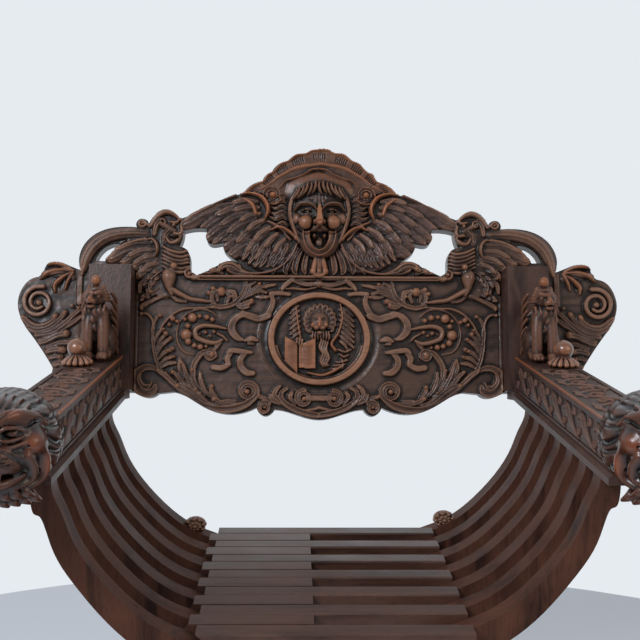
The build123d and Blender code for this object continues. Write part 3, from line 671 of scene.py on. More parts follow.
def linear(hex_colour):
    """An sRGB hex colour as the linear values a shader takes."""
    parts = [int(hex_colour[k:k + 2], 16) / 255 for k in (1, 3, 5)]
    return tuple(c / 12.92 if c <= 0.04045 else ((c + 0.055) / 1.055) ** 2.4 for c in parts) + (1.0,)


def add_node(tree, kind, settings=None, links=None):
    """One shader node with its settings, socket values and incoming links."""
    node = tree.nodes.new(kind)
    for key, value in (settings or {}).items():
        if isinstance(key, str) and hasattr(node, key):
            setattr(node, key, value)
        else:
            node.inputs[key].default_value = value
    for key, source in (links or {}).items():
        tree.links.new(source, node.inputs[key])
    return node


# The deep colour is both the dark of the grain and the painted shade of the hollows; the lighter colour of
# high places is partly worn tone and partly a painted highlight.
def walnut(name, deep, body, rubbed_and_highlight, grain, rough, coat, shine_level, has_shade_and_wear=True, glow="#a3623a",
           worn_corner=None):
    """Stained walnut: pores and figure along the grain, painted shade in the hollows,
    high places lighter (partly worn, partly a painted highlight) and tinted places a warmer brown, partly
    worn and partly a painted highlight."""
    material = bpy.data.materials.new(name)
    material.use_nodes = True
    tree = material.node_tree
    tree.nodes.clear()
    where = add_node(tree, "ShaderNodeTexCoord").outputs["Object"]
    stretch = [1 / ALONG if axis == grain else 1.0 for axis in "xyz"]
    laid = add_node(tree, "ShaderNodeMapping", {"Scale": stretch}, {"Vector": where}).outputs[0]
    wavy = add_node(tree, "ShaderNodeTexNoise", {"Scale": 1000 / FIGURE_SIZE, "Detail": 5.0, "Roughness": 0.6,
                                                 "Distortion": 0.7}, {"Vector": laid}).outputs["Fac"]
    pores = add_node(tree, "ShaderNodeTexNoise", {"Scale": 1000 / PORE_SIZE, "Detail": 2.0},
                     {"Vector": laid}).outputs["Fac"]
    cloud = add_node(tree, "ShaderNodeTexNoise", {"Scale": 1000 / CLOUD_SIZE, "Detail": 3.0},
                     {"Vector": where}).outputs["Fac"]
    figure = add_node(tree, "ShaderNodeValToRGB", links={"Fac": wavy})
    for mark, place, colour in zip(figure.color_ramp.elements, (0.30, 0.52), (deep, body)):
        mark.position = place
        mark.color = linear(colour)
    base = figure.outputs["Color"]
    if has_shade_and_wear:
        wear = add_node(tree, "ShaderNodeAttribute", {"attribute_name": "wear"}).outputs["Fac"]
        uneven = add_node(tree, "ShaderNodeMath", {"operation": "MULTIPLY_ADD", 1: 0.55, 2: -0.27},
                          {0: cloud}).outputs[0]
        level = add_node(tree, "ShaderNodeMath", {"operation": "ADD"}, {0: wear, 1: uneven}).outputs[0]
        # High places take the lighter colour: partly worn, partly a painted highlight.
        high = add_node(tree, "ShaderNodeMapRange", {"From Min": 0.10, "From Max": 0.80},
                        {"Value": level}).outputs[0]
        # Painted shade: low places in the relief are darkened toward the deep colour.
        low = add_node(tree, "ShaderNodeMapRange", {"From Min": -0.10, "From Max": -0.55},
                       {"Value": level}).outputs[0]
        rub_and_highlight = add_node(tree, "ShaderNodeMix", {"data_type": "RGBA", 7: linear(rubbed_and_highlight)},
                       {0: high, 6: base}).outputs[2]
        warm = add_node(tree, "ShaderNodeAttribute", {"attribute_name": "warm"}).outputs["Fac"]
        # Tinted places take the warm colour, more strongly on high places: partly worn, partly a painted
        # highlight.
        worn_and_highlight = add_node(tree, "ShaderNodeMath",
                           {"operation": "MULTIPLY_ADD", 1: 0.9, 2: 0.0, "use_clamp": True},
                           {0: warm, 2: add_node(tree, "ShaderNodeMath", {"operation": "MULTIPLY"},
                                                 {0: warm, 1: wear}).outputs[0]}).outputs[0]
        rub_and_highlight = add_node(tree, "ShaderNodeMix", {"data_type": "RGBA", 7: linear(glow)},
                       {0: worn_and_highlight, 6: rub_and_highlight}).outputs[2]
        # The painted shade in the hollows is mixed in last, over the lighter colours.
        base = add_node(tree, "ShaderNodeMix", {"data_type": "RGBA", 7: linear(deep)},
                        {0: low, 6: rub_and_highlight}).outputs[2]
    else:
        high = add_node(tree, "ShaderNodeMapRange", {"From Min": 0.50, "From Max": 0.72},
                        {"Value": cloud}).outputs[0]
        weak = add_node(tree, "ShaderNodeMath", {"operation": "MULTIPLY", 1: 0.45}, {0: high}).outputs[0]
        base = add_node(tree, "ShaderNodeMix", {"data_type": "RGBA", 7: linear(rubbed_and_highlight)},
                        {0: weak, 6: base}).outputs[2]
    if worn_corner:
        corner_x, corner_z, reach = worn_corner
        flat = add_node(tree, "ShaderNodeVectorMath", {"operation": "MULTIPLY", 1: (1, 0, 1)},
                        {0: where}).outputs[0]
        folded = add_node(tree, "ShaderNodeVectorMath", {"operation": "ABSOLUTE"}, {0: flat}).outputs[0]
        apart = add_node(tree, "ShaderNodeVectorMath", {"operation": "DISTANCE", 1: (corner_x, 0, corner_z)},
                         {0: folded}).outputs["Value"]
        near = add_node(tree, "ShaderNodeMapRange", {"From Min": reach, "From Max": reach * 0.4},
                        {"Value": apart}).outputs[0]
        base = add_node(tree, "ShaderNodeMix", {"data_type": "RGBA", 7: linear(glow)},
                        {0: near, 6: base}).outputs[2]
    pore_dark = add_node(tree, "ShaderNodeMapRange", {"From Min": 0.30, "From Max": 0.45, "To Min": 0.62},
                         {"Value": pores}).outputs[0]
    colour = add_node(tree, "ShaderNodeMix", {"data_type": "RGBA", "blend_type": "MULTIPLY", 0: 1.0},
                      {6: base, 7: pore_dark}).outputs[2]
    shine = add_node(tree, "ShaderNodeMapRange", {"From Min": 0.3, "From Max": 0.7, "To Min": rough - 0.08,
                                                  "To Max": rough + 0.12}, {"Value": cloud}).outputs[0]
    tool = add_node(tree, "ShaderNodeTexNoise", {"Scale": 1000 / TOOL_SIZE, "Detail": 3.0},
                    {"Vector": where}).outputs["Fac"]
    marks = add_node(tree, "ShaderNodeMath", {"operation": "MULTIPLY_ADD", 1: 0.6},
                     {0: pores, 2: tool}).outputs[0]
    relief = add_node(tree, "ShaderNodeBump", {"Strength": 0.28, "Distance": 0.0006},
                      {"Height": marks}).outputs[0]
    surface = add_node(tree, "ShaderNodeBsdfPrincipled",
                       {"IOR": 1.5, "Specular IOR Level": shine_level, "Coat Weight": coat,
                        "Coat Roughness": 0.16},
                       {"Base Color": colour, "Roughness": shine, "Normal": relief}).outputs[0]
    add_node(tree, "ShaderNodeOutputMaterial", links={"Surface": surface})
    return material


# Carving, stained dark and waxed: grey brown on the tops, partly worn and partly a painted highlight; nearly
# black in the cuts, which is painted shade.
walnut_carved = walnut("walnut_carved_waxed", "#1b100b", "#513a2f", "#7c5945", "x", 0.42, 0.18, 0.35)
# Feathers, dusted more often than the leaves: a little greyer, with a little more sheen; their tips lighter,
# partly worn and partly a painted highlight.
walnut_wing = walnut("walnut_feathers_waxed", "#1a100c", "#503a32", "#775645", "x", 0.40, 0.20, 0.35)
# The ring round the medallion, rubbed to an even warm brown.
walnut_ring = walnut("walnut_ring_rubbed", "#1c0f0a", "#6a4733", "#8c6046", "x", 0.40, 0.20, 0.4)
# Paws and knobs: middle brown, glossy from handling.
walnut_knob = walnut("walnut_handled", "#180d09", "#55362a", "#8a5c42", "x", 0.28, 0.45, 0.5)
# French polished lion heads: nearly black red brown with window-bright highlights; their tinted places a
# warmer brown, partly worn and partly a painted highlight.
walnut_polished = walnut("walnut_french_polished", "#060201", "#26130c", "#4e2a19", "y", 0.32, 0.22, 0.5,
                         glow="#80401f")
# Seated lions: darker than the arms, lighter on the high places, partly worn and partly a painted highlight.
walnut_beast = walnut("walnut_lion_waxed", "#0d0605", "#3a241b", "#6c4735", "z", 0.44, 0.12, 0.3)
# The vines sunk in the arms: old dull wax, brown on the leaves' high places, partly worn by sleeves and
# partly a painted highlight, with painted shade in the cuts.
walnut_arm = walnut("walnut_arm_waxed", "#140b08", "#473128", "#705245", "y", 0.50, 0.08, 0.25)
# Seat and board, planed and waxed to a satin, their figure running across the chair.
walnut_plain_x = walnut("walnut_plain_cross", "#22140e", "#4a3026", "#654536", "x", 0.40, 0.2, 0.35,
                        has_shade_and_wear=False)
# Rods, strips and runners: planed walnut along the chair, its wax gone dull.
walnut_plain_y = walnut("walnut_plain_long", "#20120d", "#46312a", "#644a3e", "y", 0.50, 0.08, 0.25,
                        has_shade_and_wear=False)
# The same on the arms, whose inner top corner is worn through to a warm orange brown.
walnut_arm_edge = walnut("walnut_arm_worn_edge", "#20120d", "#46312a", "#644a3e", "y", 0.50, 0.08, 0.25,
                         has_shade_and_wear=False, glow="#8a5233",
                         worn_corner=(ARM_INNER / 1000, ARM_TOP / 1000, 0.0026))
# Posts: planed walnut standing on end, satin from the wax.
walnut_plain_z = walnut("walnut_plain_upright", "#20120d", "#49322a", "#694a3c", "z", 0.40, 0.2, 0.35,
                        has_shade_and_wear=False)
# Ribs: plain planed faces, slightly redder, with a soft sheen that picks up the pale room.
walnut_rib = walnut("walnut_rib_planed", "#22110b", "#4a2c20", "#643f2e", "z", 0.56, 0.05, 0.16,
                    has_shade_and_wear=False)


# ---- The back: one carving over the whole board ----

# One height every 0.8 mm; the ground reaches past the board on every side.
FINE, GROUND = 0.8, 1.2
# How far a carving's outer walls go down into the wood that carries it.
INTO_BOARD, INTO_ARM = -0.6, -0.3
# The ear leaves, outside the posts: where they begin, their top and their foot.
EAR_INNER, EAR_TOP, EAR_FOOT = 296.0, 106.0, -44.0
back = Carving((-380, -92), (380, 262), FINE, GROUND)
board_rim = front_rim("back_board")
board_used = inside(back, board_rim)
half = Half(back)


def one_stroke(rows, section=sect_round, name=None):
    """A stroke that has no twin on the other side."""
    back.raise_path(gouge_path(rows), section, name)


def one_groove(rows):
    back.cut_path(gouge_path(rows))


# Plateaus of the planted pieces, their corners eased before the cutting starts.
from_middle = np.abs(back.u)[None, :]
behind_post = (from_middle > POST_INNER) & (from_middle < POST_OUTER) & (back.v[:, None] < POST_RISE)
for piece, level in (("crest_wing_", 5.0), ("griffin_", 4.2), ("ear_leaf_", 2.2)):
    for side in ("right", "left"):
        part = inside(back, front_rim(piece + side)) if piece != "ear_leaf_" else (
            (back.u[None, :] * (1 if side == "right" else -1) > EAR_INNER) & (back.v[:, None] < EAR_TOP)
            & (back.v[:, None] > EAR_FOOT))
        back.h = np.where(part, np.maximum(back.h, level), back.h)
        back.owner[part] = back.key(piece + side)
shell_part = inside(back, front_rim("crest_shell"))
back.h = np.where(shell_part, 7.0, back.h)
back.owner[shell_part] = back.key("crest_shell")
back.h = blurred(back.h, 1)

# Plain hollow band outside the medallion, and the dished ground inside it.
uu, vv = np.meshgrid(back.u, back.v)
oval = np.hypot(uu / OVAL_ACROSS, (vv - OVAL_MIDDLE) / OVAL_UP)
back.h -= np.where((oval > 1) & (oval < 1.16) & (back.owner == 0), 0.9 * np.sin((oval - 1) / 0.16 * np.pi), 0)
back.h += np.where((oval > 1.16) & (oval < 1.2) & (back.owner == 0), 0.5, 0)

# --- shell over the mask: a smooth warm band, hatched in groups close to its scalloped rim ---
back.h = np.where(shell_part, np.maximum(back.h, 9.0), back.h)
# The shell's warmer tint is partly worn and partly a painted highlight.
back.warm[shell_part] = 0.12
back.glow = 0.25
half.stroke([(0, 238, 11, 11.0), (29, 233, 11, 11.0), (50, 222, 10, 10.8), (68, 209, 9, 10.4),
             (86, 200, 6, 9.6)],
            sect_soft, "crest_shell")
back.dome(0, 203, 46, 27, 6.0, 8.0, "crest_shell", 0.5)
for u, v in ((0, 246), (27, 241), (47, 230), (64, 216), (81, 204)):
    out = np.array([0.8 * u, v - 175.0])
    out = out / np.hypot(*out)
    for k in range(6):
        across = np.array([out[1], -out[0]]) * (k - 2.5) * 2.5
        reach = 5.2 - 0.35 * abs(k - 2.5)
        a, b = np.array([u, v]) + across - out * reach, np.array([u, v]) + across * 1.12 + out * reach
        mark = [(*a, 0.55, 1.2), (*((a + b) / 2), 0.85, 2.4), (*b, 0.8, 2.2)]
        half.groove(mark) if u else one_groove(mark)
rim_rows = [(0, 256, 1.9, 13.0), (10, 255, 1.7, 12.6), (18, 251, 1.9, 12.0), (30, 249, 1.9, 12.8),
            (39, 242, 1.7, 12.0), (50, 237, 1.7, 12.8), (58.5, 227.5, 1.7, 12.0), (66, 223, 1.7, 12.4),
            (71.5, 215, 1.7, 11.6), (84, 209.5, 1.7, 12.0), (95, 200, 1.7, 10.6)]
half.stroke(rim_rows, name="crest_shell")
half.stroke([(0, 230.5, 2.6, 16.0), (9, 229, 2.6, 16.0), (20, 222.5, 2.4, 15.5), (32, 218, 2.4, 15.0),
             (42, 214.5, 2.4, 14.5), (49, 206, 2.0, 12.5)], sect_soft, "crest_shell")
back.glow = 0.0

# --- wings: tiers of feathers, tips over roots, under a shoulder crescent tinted warmer, partly worn and partly a painted highlight ---
wing = "crest_wing_"
long_feathers = (((104, 184), (170, 158), 9, 7.5, 9.5), ((100, 176), (146, 152), 8, 7.5, 9.8),
                 ((96, 168), (140, 141), 7.5, 7.5, 9.6), ((88, 160), (131, 136), 7, 7.2, 9.0),
                 ((84, 150), (119, 131), 8.5, 7.0, 9.6), ((74, 142), (112, 121), 7, 6.8, 8.6))
for root, tip, wide, low, high in long_feathers:
    half.feather(root, tip, wide, low, high, wing, 0.05)
mid_feathers = (((90, 180), (128, 170), 7), ((86, 172), (120, 158), 7), ((82, 164), (112, 148), 7),
                ((76, 156), (100, 137), 6.5), ((66, 148), (90, 124), 6), ((58, 142), (78, 116), 5.5))
for root, tip, wide in mid_feathers:
    half.feather(root, tip, wide, 8.8, 11.0, wing, 0.06)
small_feathers = (((80, 188), (108, 186), 6), ((78, 180), (106, 176), 5.5), ((76, 172), (98, 163), 5.5),
                  ((70, 164), (90, 151), 5), ((62, 154), (80, 138), 5), ((52, 146), (66, 130), 4.5),
                  ((44, 140), (56, 124), 4.5))
for root, tip, wide in small_feathers:
    half.feather(root, tip, wide, 10.0, 12.4, wing, 0.06)
for k in range(7):
    t = k / 6
    u0, v0 = 40 + 44 * t, 134 - 6 * math.sin(math.pi * t) + 6 * t
    for row in (0, 1):
        half.stroke([(u0 + 4 * row, v0 - 11 * row, 2.4, 7.5), (u0 + 2 + 4 * row, v0 - 7 - 11 * row, 3.0, 9.5),
                     (u0 + 7 + 4 * row, v0 - 14 - 11 * row, 1.6, 9.0)], sect_vein, wing)
half.stroke([(28, 134, 1.8, 9.5), (34, 120, 1.9, 9.5), (45, 108, 1.9, 9.0), (60, 100, 1.8, 8.5),
             (78, 97, 1.7, 8.0), (95, 98.5, 1.7, 7.5), (106, 102, 1.6, 7.0)], name=wing)
half.stroke([(36, 140, 2.0, 10.5), (44, 150, 2.6, 12.0), (54, 158, 2.4, 12.0), (64, 163, 1.6, 11.0)],
            name=wing)
back.glow = 0.35
half.stroke([(28, 139, 4.5, 12.0), (38, 149, 7.0, 14.0), (50, 155.5, 5.6, 13.0), (62, 152, 3.0, 10.0)],
            sect_soft, wing)
half.groove([(33, 142, 2.6, 3.0), (42, 149, 4.0, 5.0), (53, 152.5, 2.8, 3.2)])
half.stroke([(96, 192, 4.0, 11.5), (85, 184, 8.0, 13.5), (80, 172, 6.0, 12.6)], sect_soft, wing)
back.glow = 0.4
half.stroke([(100, 197.5, 2.0, 12.0), (88, 199, 4.2, 13.5), (75, 195, 6.0, 15.5), (67, 186, 6.6, 16.5),
             (65, 176, 5.6, 16.0), (69, 166, 2.4, 13.0)], sect_soft, wing)
back.glow = 0.0
half.stroke([(106, 197, 3.4, 11.0), (124, 189.5, 2.6, 11.5), (142, 180, 2.6, 11.0), (158, 171.5, 2.4, 10.0),
             (174, 162, 2.0, 8.0)], sect_soft, wing)

# --- face of the crest: hair, frown, nose, cheeks and open mouth ---
mask = "crest_mask"
back.dome(0, 172, 39, 44, 3.0, 17.0, mask, 0.4)
back.dome(0, 147, 28, 32, 3.0, 16.5, mask, 0.4)


def on_mask(rows, section=sect_round):
    """The same stroke on both halves of the face, with no glow."""
    back.glow = 0.0
    path = gouge_path(rows)
    for side in (1, -1):
        own = path.copy()
        own[:, 0] *= side
        back.raise_path(own, section, mask)


def cut_mask(rows):
    """The same groove on both halves of the face."""
    path = gouge_path(rows)
    for side in (1, -1):
        own = path.copy()
        own[:, 0] *= side
        back.cut_path(own)


# Broad lock framing the face, and hair streaming level from it to the wings.
on_mask([(28, 203, 3.4, 17.0), (34, 190, 4.6, 17.5), (36, 172, 4.6, 16.5), (31, 152, 3.8, 15.0),
         (25, 136, 2.2, 13.0)])
for du in (-1.6, 1.6):
    cut_mask([(28 + du, 201, 0.6, 1.0), (34 + du, 188, 0.8, 1.6), (36 + du, 171, 0.8, 1.6),
              (31 + du, 153, 0.6, 1.2)])
for k in range(6):
    v0 = 195 - 7.0 * k
    half.stroke([(40, v0 - 1, 2.6, 11.0), (46, v0 + 2.2, 3.2, 12.8), (54, v0 - 1.0, 3.0, 12.4),
                 (62, v0 + 1.6, 1.6, 10.8)],
                sect_twin, mask)
# Heavy level brow, the frown's folds, and the lines over it.
on_mask([(3, 174, 2.8, 28), (7, 179.5, 4.6, 31), (15, 182.5, 5.4, 32), (25, 181.5, 5.0, 30),
         (31.5, 175, 3.0, 23)], sect_soft)
cut_mask([(1.6, 194, 0.7, 1.6), (2.6, 185, 0.9, 3.0), (4.6, 178, 0.7, 2.0)])
cut_mask([(6, 193, 0.6, 1.0), (8.4, 188.5, 0.7, 1.6), (13, 190.6, 0.5, 0.8)])
# Eye in its dark socket, with lids and bags.
for side in (1, -1):
    back.scoop(side * 15.0, 173.6, 7.6, 3.8, 8.0)
    back.dome(side * 15.0, 173.4, 3.8, 2.1, 16.0, 3.6, mask)
    back.scoop(side * 15.4, 173.6, 1.2, 0.9, 1.6)
on_mask([(8, 173.4, 0.9, 21), (13, 176.2, 1.3, 23.5), (19, 176.0, 1.2, 22.5), (23.5, 173, 0.9, 20)])
on_mask([(9, 172.0, 0.9, 20.5), (15, 170.4, 1.1, 22), (22, 171.6, 0.9, 20)])
on_mask([(8, 170, 1.0, 22), (16, 167.0, 1.3, 23), (24, 169, 1.0, 20)], sect_soft)
# Round cheek tinted warmer, partly worn and partly a painted highlight, the small outer cheek, and the fold
# from nose to mouth.
for side in (1, -1):
    back.glow = 0.2
    back.dome(side * 16.5, 160.5, 9.6, 8.8, 20.0, 5.4, mask, 0.9)
    back.glow = 0.1
    back.dome(side * 27.0, 165.5, 6.4, 7.4, 16.0, 3.6, mask, 0.9)
    back.glow = 0.0
cut_mask([(5.6, 166, 1.0, 2.5), (8.6, 158, 1.3, 4.0), (12, 151.5, 1.6, 5.0), (22, 148.5, 1.4, 4.0),
          (28, 153, 0.8, 2.0)])
cut_mask([(25.5, 160, 0.9, 2.0), (30, 157, 0.8, 1.6)])
# Moustache, swept to both sides, with its strands.
on_mask([(1.0, 154.5, 3.0, 30), (6.5, 150.5, 4.8, 30), (13, 146.8, 4.2, 27), (20, 147.4, 2.0, 22)], sect_soft)
for k in range(3):
    cut_mask([(2.6 + 3 * k, 154 - k, 0.6, 1.0), (9 + 3.4 * k, 147.6 - 0.4 * k, 0.8, 1.6)])
# Nose: a long straight bridge, flat on its tip.
# The nose's warmer tint is partly worn and partly a painted highlight.
back.glow = 0.28
one_stroke([(0, 180, 2.6, 28), (0, 174, 3.6, 31), (0, 166, 4.4, 35), (0, 160, 5.6, 39.0),
            (0, 157.6, 5.0, 37)], sect_flat, mask)
back.glow = 0.0
for side in (1, -1):
    back.dome(side * 5.4, 159.6, 2.6, 3.2, 22.0, 9.0, mask, 0.5)
# Forehead hair: short tufts, each combed outward.
for k in range(-5, 6):
    u0, way = 5.7 * k, math.copysign(1.0, k + 0.01)
    top = 212 - 0.010 * u0 * u0 + 1.5 * (k % 2)
    one_stroke([(u0 * 0.86, top, 1.6, 21), (u0 * 0.92 - way * 0.6, top - 6, 3.0, 26),
                (u0 * 1.0 + way * 0.6, top - 12, 2.7, 27),
                (u0 * 1.06 + way * 3.4, top - 16.5, 1.1, 24)], name=mask)
    for off in (-0.9, 0.9):
        one_groove([(u0 * 0.86 + off, top - 1, 0.5, 1.0),
                    (u0 * 0.92 - way * 0.6 + off, top - 6, 0.7, 2.0),
                    (u0 * 1.0 + way * 0.6 + off, top - 12, 0.7, 2.0),
                    (u0 * 1.06 + way * 2.6 + off, top - 15, 0.4, 1.0)])
# Open mouth: two lips hang in a U round a dark throat, the tongue inside.
hang = np.radians(np.linspace(176, 364, 44))
back.dome(0, 136, 21, 21, 4.0, 12.0, mask, 0.3)
throat = np.hypot(uu / 12.0, (vv - 147.0) / 20.0)
back.h = np.where((throat < 1) & (vv < 150), np.minimum(back.h, 3.0 + 9.0 * np.clip(throat, 0, 1) ** 6),
                  back.h)
# The lips' warmer tint is partly worn and partly a painted highlight.
back.glow = 0.25
one_stroke([(20.4 * math.cos(a), 147 + 28.4 * math.sin(a), 2.8, 20.0) for a in hang],
           sect_soft, mask)
one_stroke([(14.0 * math.cos(a), 147 + 22.0 * math.sin(a), 2.3, 21.5) for a in hang],
           sect_soft, mask)
back.glow = 0.0
back.dome(0, 136.0, 6.6, 9.0, 3.0, 7.0, mask, 0.5)
one_groove([(0, 142, 0.6, 1.0), (0, 130, 0.7, 1.4)])
for u in (-6.4, 6.4):
    back.dome(u, 143.4, 1.9, 2.4, 14.0, 7.5, mask, 0.5)

# Volutes beside the mask.
# The volutes' warmer tint is partly worn and partly a painted highlight.
back.glow = 0.35
half.volute(59.0, 197, 13.5, 215, 1.30, 3.2, 13.5, "crest_shell", 4.6)
back.glow = 0.0

# --- plume under the mouth: hollow petals to each side, a scalloped shield between ---
for rows in ([(15, 125, 2.0, 9.0), (18, 113, 3.4, 9.8), (19.5, 102, 3.4, 9.0), (18.0, 97.5, 1.8, 7.4)],
             [(22, 127, 2.0, 9.0), (28, 114, 3.6, 9.8), (30.5, 102, 3.6, 9.0), (29.0, 97.5, 1.8, 7.4)],
             [(29, 129, 2.0, 9.0), (38, 115, 3.4, 9.4), (43, 103, 3.2, 8.6), (42.0, 98, 1.6, 7.2)],
             [(36, 124, 1.8, 8.4), (47, 112, 2.8, 8.8), (55, 102, 2.6, 8.0), (57.0, 98, 1.4, 7.0)]):
    half.stroke(rows, sect_hollow)
# The shield's warmer tint is partly worn and partly a painted highlight.
back.glow = 0.25
one_stroke([(0, 120, 6.5, 10.5), (0, 111, 9.6, 11.3), (0, 104, 11.6, 10.8),
            (0, 101, 11.4, 10.2)], sect_flat)
for u in (-7.6, 0, 7.6):
    back.dome(u, 100.0, 4.4, 4.6, 6.0, 5.2)
back.glow = 0.0
for u in (-3.8, 3.8):
    one_groove([(u * 0.6, 116, 0.8, 1.0), (u, 98, 1.1, 2.4)])

# --- ledge with its small end scrolls, ribbon knot below it ---
half.stroke([(0, 89.4, 1.1, 7.0), (80, 89.4, 1.1, 7.0), (156, 89.4, 1.1, 7.0)], name="ledge_moulding")
half.stroke([(0, 92.4, 2.0, 8.6), (80, 92.4, 2.0, 8.6), (158, 92.4, 2.0, 8.6)],
            lambda x, s, a: np.clip((1 - x) / 0.2, 0, 1) ** 0.5
            * (0.86 + 0.14 * np.clip(1 - (x / 0.8) ** 4, 0, 1)),
            "ledge_moulding")
half.volute(161, 96.5, 8.0, 250, 1.1, 2.2, 9.0, "ledge_moulding", 3.4,
            stem=((150, 91.2, 2.6, 8.5), (156, 89.6, 2.4, 8.8)))
knot = "ribbon_knot"
half.stroke([(5, 84, 3.2, 6.8), (14, 83, 3.6, 6.2), (24, 85, 3.8, 5.6), (34, 88.5, 3.4, 7.0)], sect_flat,
            knot)
half.stroke([(34, 88.5, 3.2, 7.4), (41, 83, 3.6, 6.6), (45.5, 77.5, 2.8, 6.2)], sect_flat, knot)
half.stroke([(4, 80, 1.6, 5.5), (18, 77.5, 1.9, 5.6), (32, 79, 1.9, 5.6), (41, 78, 1.4, 5.6)], name=knot)
back.dome(0, 84.5, 6.0, 5.0, 3.0, 6.0, knot)
for u in (-2.4, 0, 2.4):
    one_groove([(u, 88, 0.6, 1.0), (u * 1.3, 81, 0.6, 1.2)])

# --- leaves lying on the ledge, running out to the opening ---
half.stroke([(84, 97, 2.2, 6.0), (96, 100.5, 3.2, 7.5), (107, 107.5, 4.0, 9.0), (117, 108, 3.6, 9.5),
             (125, 102, 2.4, 9.0)], sect_vein)
half.stroke([(92, 97.5, 2.4, 6.0), (104, 99.5, 3.0, 7.0), (113, 103, 2.4, 8.0)], sect_vein)
half.bud(122.5, 103.5, 3.6, 4.0, 6.0)
half.stroke([(122, 97.5, 2.0, 5.5), (130, 101, 2.8, 7.0), (136, 99, 1.8, 7.0)], sect_vein)
half.bud(134, 100, 2.8, 3.5, 4.5)
half.stroke([(134, 97.2, 1.8, 5.0), (144, 98.4, 2.0, 5.5), (151, 96.6, 1.2, 5.0)])

# --- griffins: bearded head, ruff, worn wing crescent, feathers and rope tail ---
beast = "griffin_"
half.stroke([(216, 148, 7.5, 6.5), (232, 148.5, 8.0, 7.0), (250, 147.5, 8.0, 7.4), (268, 142, 8.2, 7.8),
             (282, 131, 8.4, 8.2), (290, 117, 7.6, 8.2), (293.5, 104, 5.4, 7.6), (295, 96, 3.0, 6.5)],
            lambda x, s, a: np.sqrt(np.clip(1 - x * x, 0, 1)) * (0.93 + 0.07 * np.cos(x * s * 9 + a * 3)),
            beast)
for root, tip, wide in (((206, 128), (262, 113), 6.5), ((204, 122), (246, 110), 6),
                        ((204, 114), (236, 102), 5.5),
                        ((202, 108), (228, 92), 5)):
    half.feather(root, tip, wide, 6.0, 8.4, beast, 0.08)
for root, tip, wide in (((210, 134), (252, 126), 5.5), ((208, 126), (238, 118), 5),
                        ((206, 118), (230, 108), 4.5),
                        ((204, 110), (220, 98), 4.2)):
    half.feather(root, tip, wide, 7.6, 9.8, beast, 0.08)
half.stroke([(216, 141, 2.0, 9.0), (232, 137.5, 2.2, 9.2), (248, 130, 2.2, 8.8), (264, 114.5, 1.8, 7.6)],
            name=beast)
half.stroke([(218, 139.5, 2.0, 9.5), (209, 140, 4.2, 11.5), (203.5, 133, 5.2, 12.8), (203, 125, 4.2, 12.4),
             (206, 118, 2.0, 10.0)], sect_soft, beast)
for k in range(6):
    v0 = 129 - 4.8 * k
    half.stroke([(165.5 - 0.6 * k, v0 - 4, 1.9, 6.6), (173, v0 - 6.5, 2.5, 8.6), (184, v0 - 4.5, 2.5, 9.2),
                 (195, v0 + 1, 1.8, 8.2)], name=beast)
half.stroke([(182, 152, 10, 6.5), (193, 158, 11, 8.0), (199, 160, 9, 7.5)], sect_soft, beast)
half.stroke([(174, 164, 2.4, 8.0), (184, 172.5, 3.6, 10.2), (195, 174, 3.8, 10.6), (205, 167, 3.6, 10.0),
             (211.5, 157, 2.8, 8.6)], name=beast)
half.stroke([(200, 166, 2.2, 9.0), (205, 158, 2.8, 10.2), (207, 147.5, 2.2, 9.2)], sect_vein, beast)
half.volute(197, 160.5, 6.0, 60, 1.0, 1.6, 9.4, beast, 1.8)
half.volute(221.5, 160, 6.6, 180, 1.4, 2.2, 8.6, beast, 1.9, stem=((212, 156, 2.2, 7.4),))
half.stroke([(175, 166, 2.0, 8.4), (179, 162, 2.4, 9.6), (186, 163, 1.8, 9.2)], name=beast)
half.bud(182.5, 158.5, 2.2, 6.4, 3.2, beast)
half.stroke([(174, 158, 2.4, 8.2), (172.6, 151, 2.8, 9.2), (174.5, 146, 2.6, 9.6), (182, 146.5, 2.2, 8.6)],
            name=beast)
half.stroke([(173, 143.5, 2.0, 8.0), (178, 137, 2.8, 8.6), (186, 136, 2.4, 8.0), (191, 143, 2.0, 7.6)],
            name=beast)
half.stroke([(188, 152, 3.6, 8.6), (193, 146, 4.2, 9.0), (194, 137, 3.6, 8.2)], sect_twin, beast)
half.groove([(175, 142.5, 1.3, 3.0), (181, 142, 1.7, 4.4), (187, 143.5, 1.2, 2.6)])
half.bud(182.5, 105.5, 4.6, 6.5, 6.0, beast)
half.stroke([(184, 100, 6.0, 10.5), (187, 94, 8.6, 13.5), (187, 86, 6.6, 12.5), (186, 78, 4.4, 10.0),
             (183, 71, 2.6, 8.0)], name=beast)
half.leaf(((196, 100), (206, 92), (212, 82), (210, 72)), 8.0, 8.2, 4, beast)
half.leaf(((205, 108), (217, 102), (224, 92)), 6.5, 8.0, 3, beast)
half.leaf(((200, 78), (212, 70), (222, 64)), 5.5, 6.4, 3, beast)
half.stroke([(214, 92, 2.0, 6.5), (223, 84, 2.6, 7.4), (225, 74, 1.6, 6.6)], sect_vein, beast)
half.stroke([(190, 70, 1.4, 5.6), (204, 64, 2.0, 6.0), (218, 57, 2.4, 6.4), (222, 53, 1.4, 6.0)], sect_vein)
half.bud(221, 53, 2.4, 3.0, 3.8)

# --- ears: big volutes outside the posts, acanthus above and below ---
ear = "ear_leaf_"
half.stroke(volute_rows(347.5, 59.0, 20.5, 7.5, 105, -1.65, 3.3, 2.3, 9.2), sect_flat, ear)
back.dome(347.5, 59.0, 4.2, 4.2, 4.0, 4.4, ear + "right", 0.6)
back.dome(-347.5, 59.0, 4.2, 4.2, 4.0, 4.4, ear + "left", 0.6)
half.stroke([(306, 92, 8.0, 4.6), (318, 96, 10.0, 6.2), (334, 98, 9.0, 7.4), (344, 96, 4.0, 6.8)], sect_soft,
            ear)
# Plain fillet beside the post, and the big leaf folded over the volute's shoulder.
half.stroke([(298.5, 97, 4.2, 4.6), (298.5, 58, 4.0, 4.6)], sect_flat, ear)
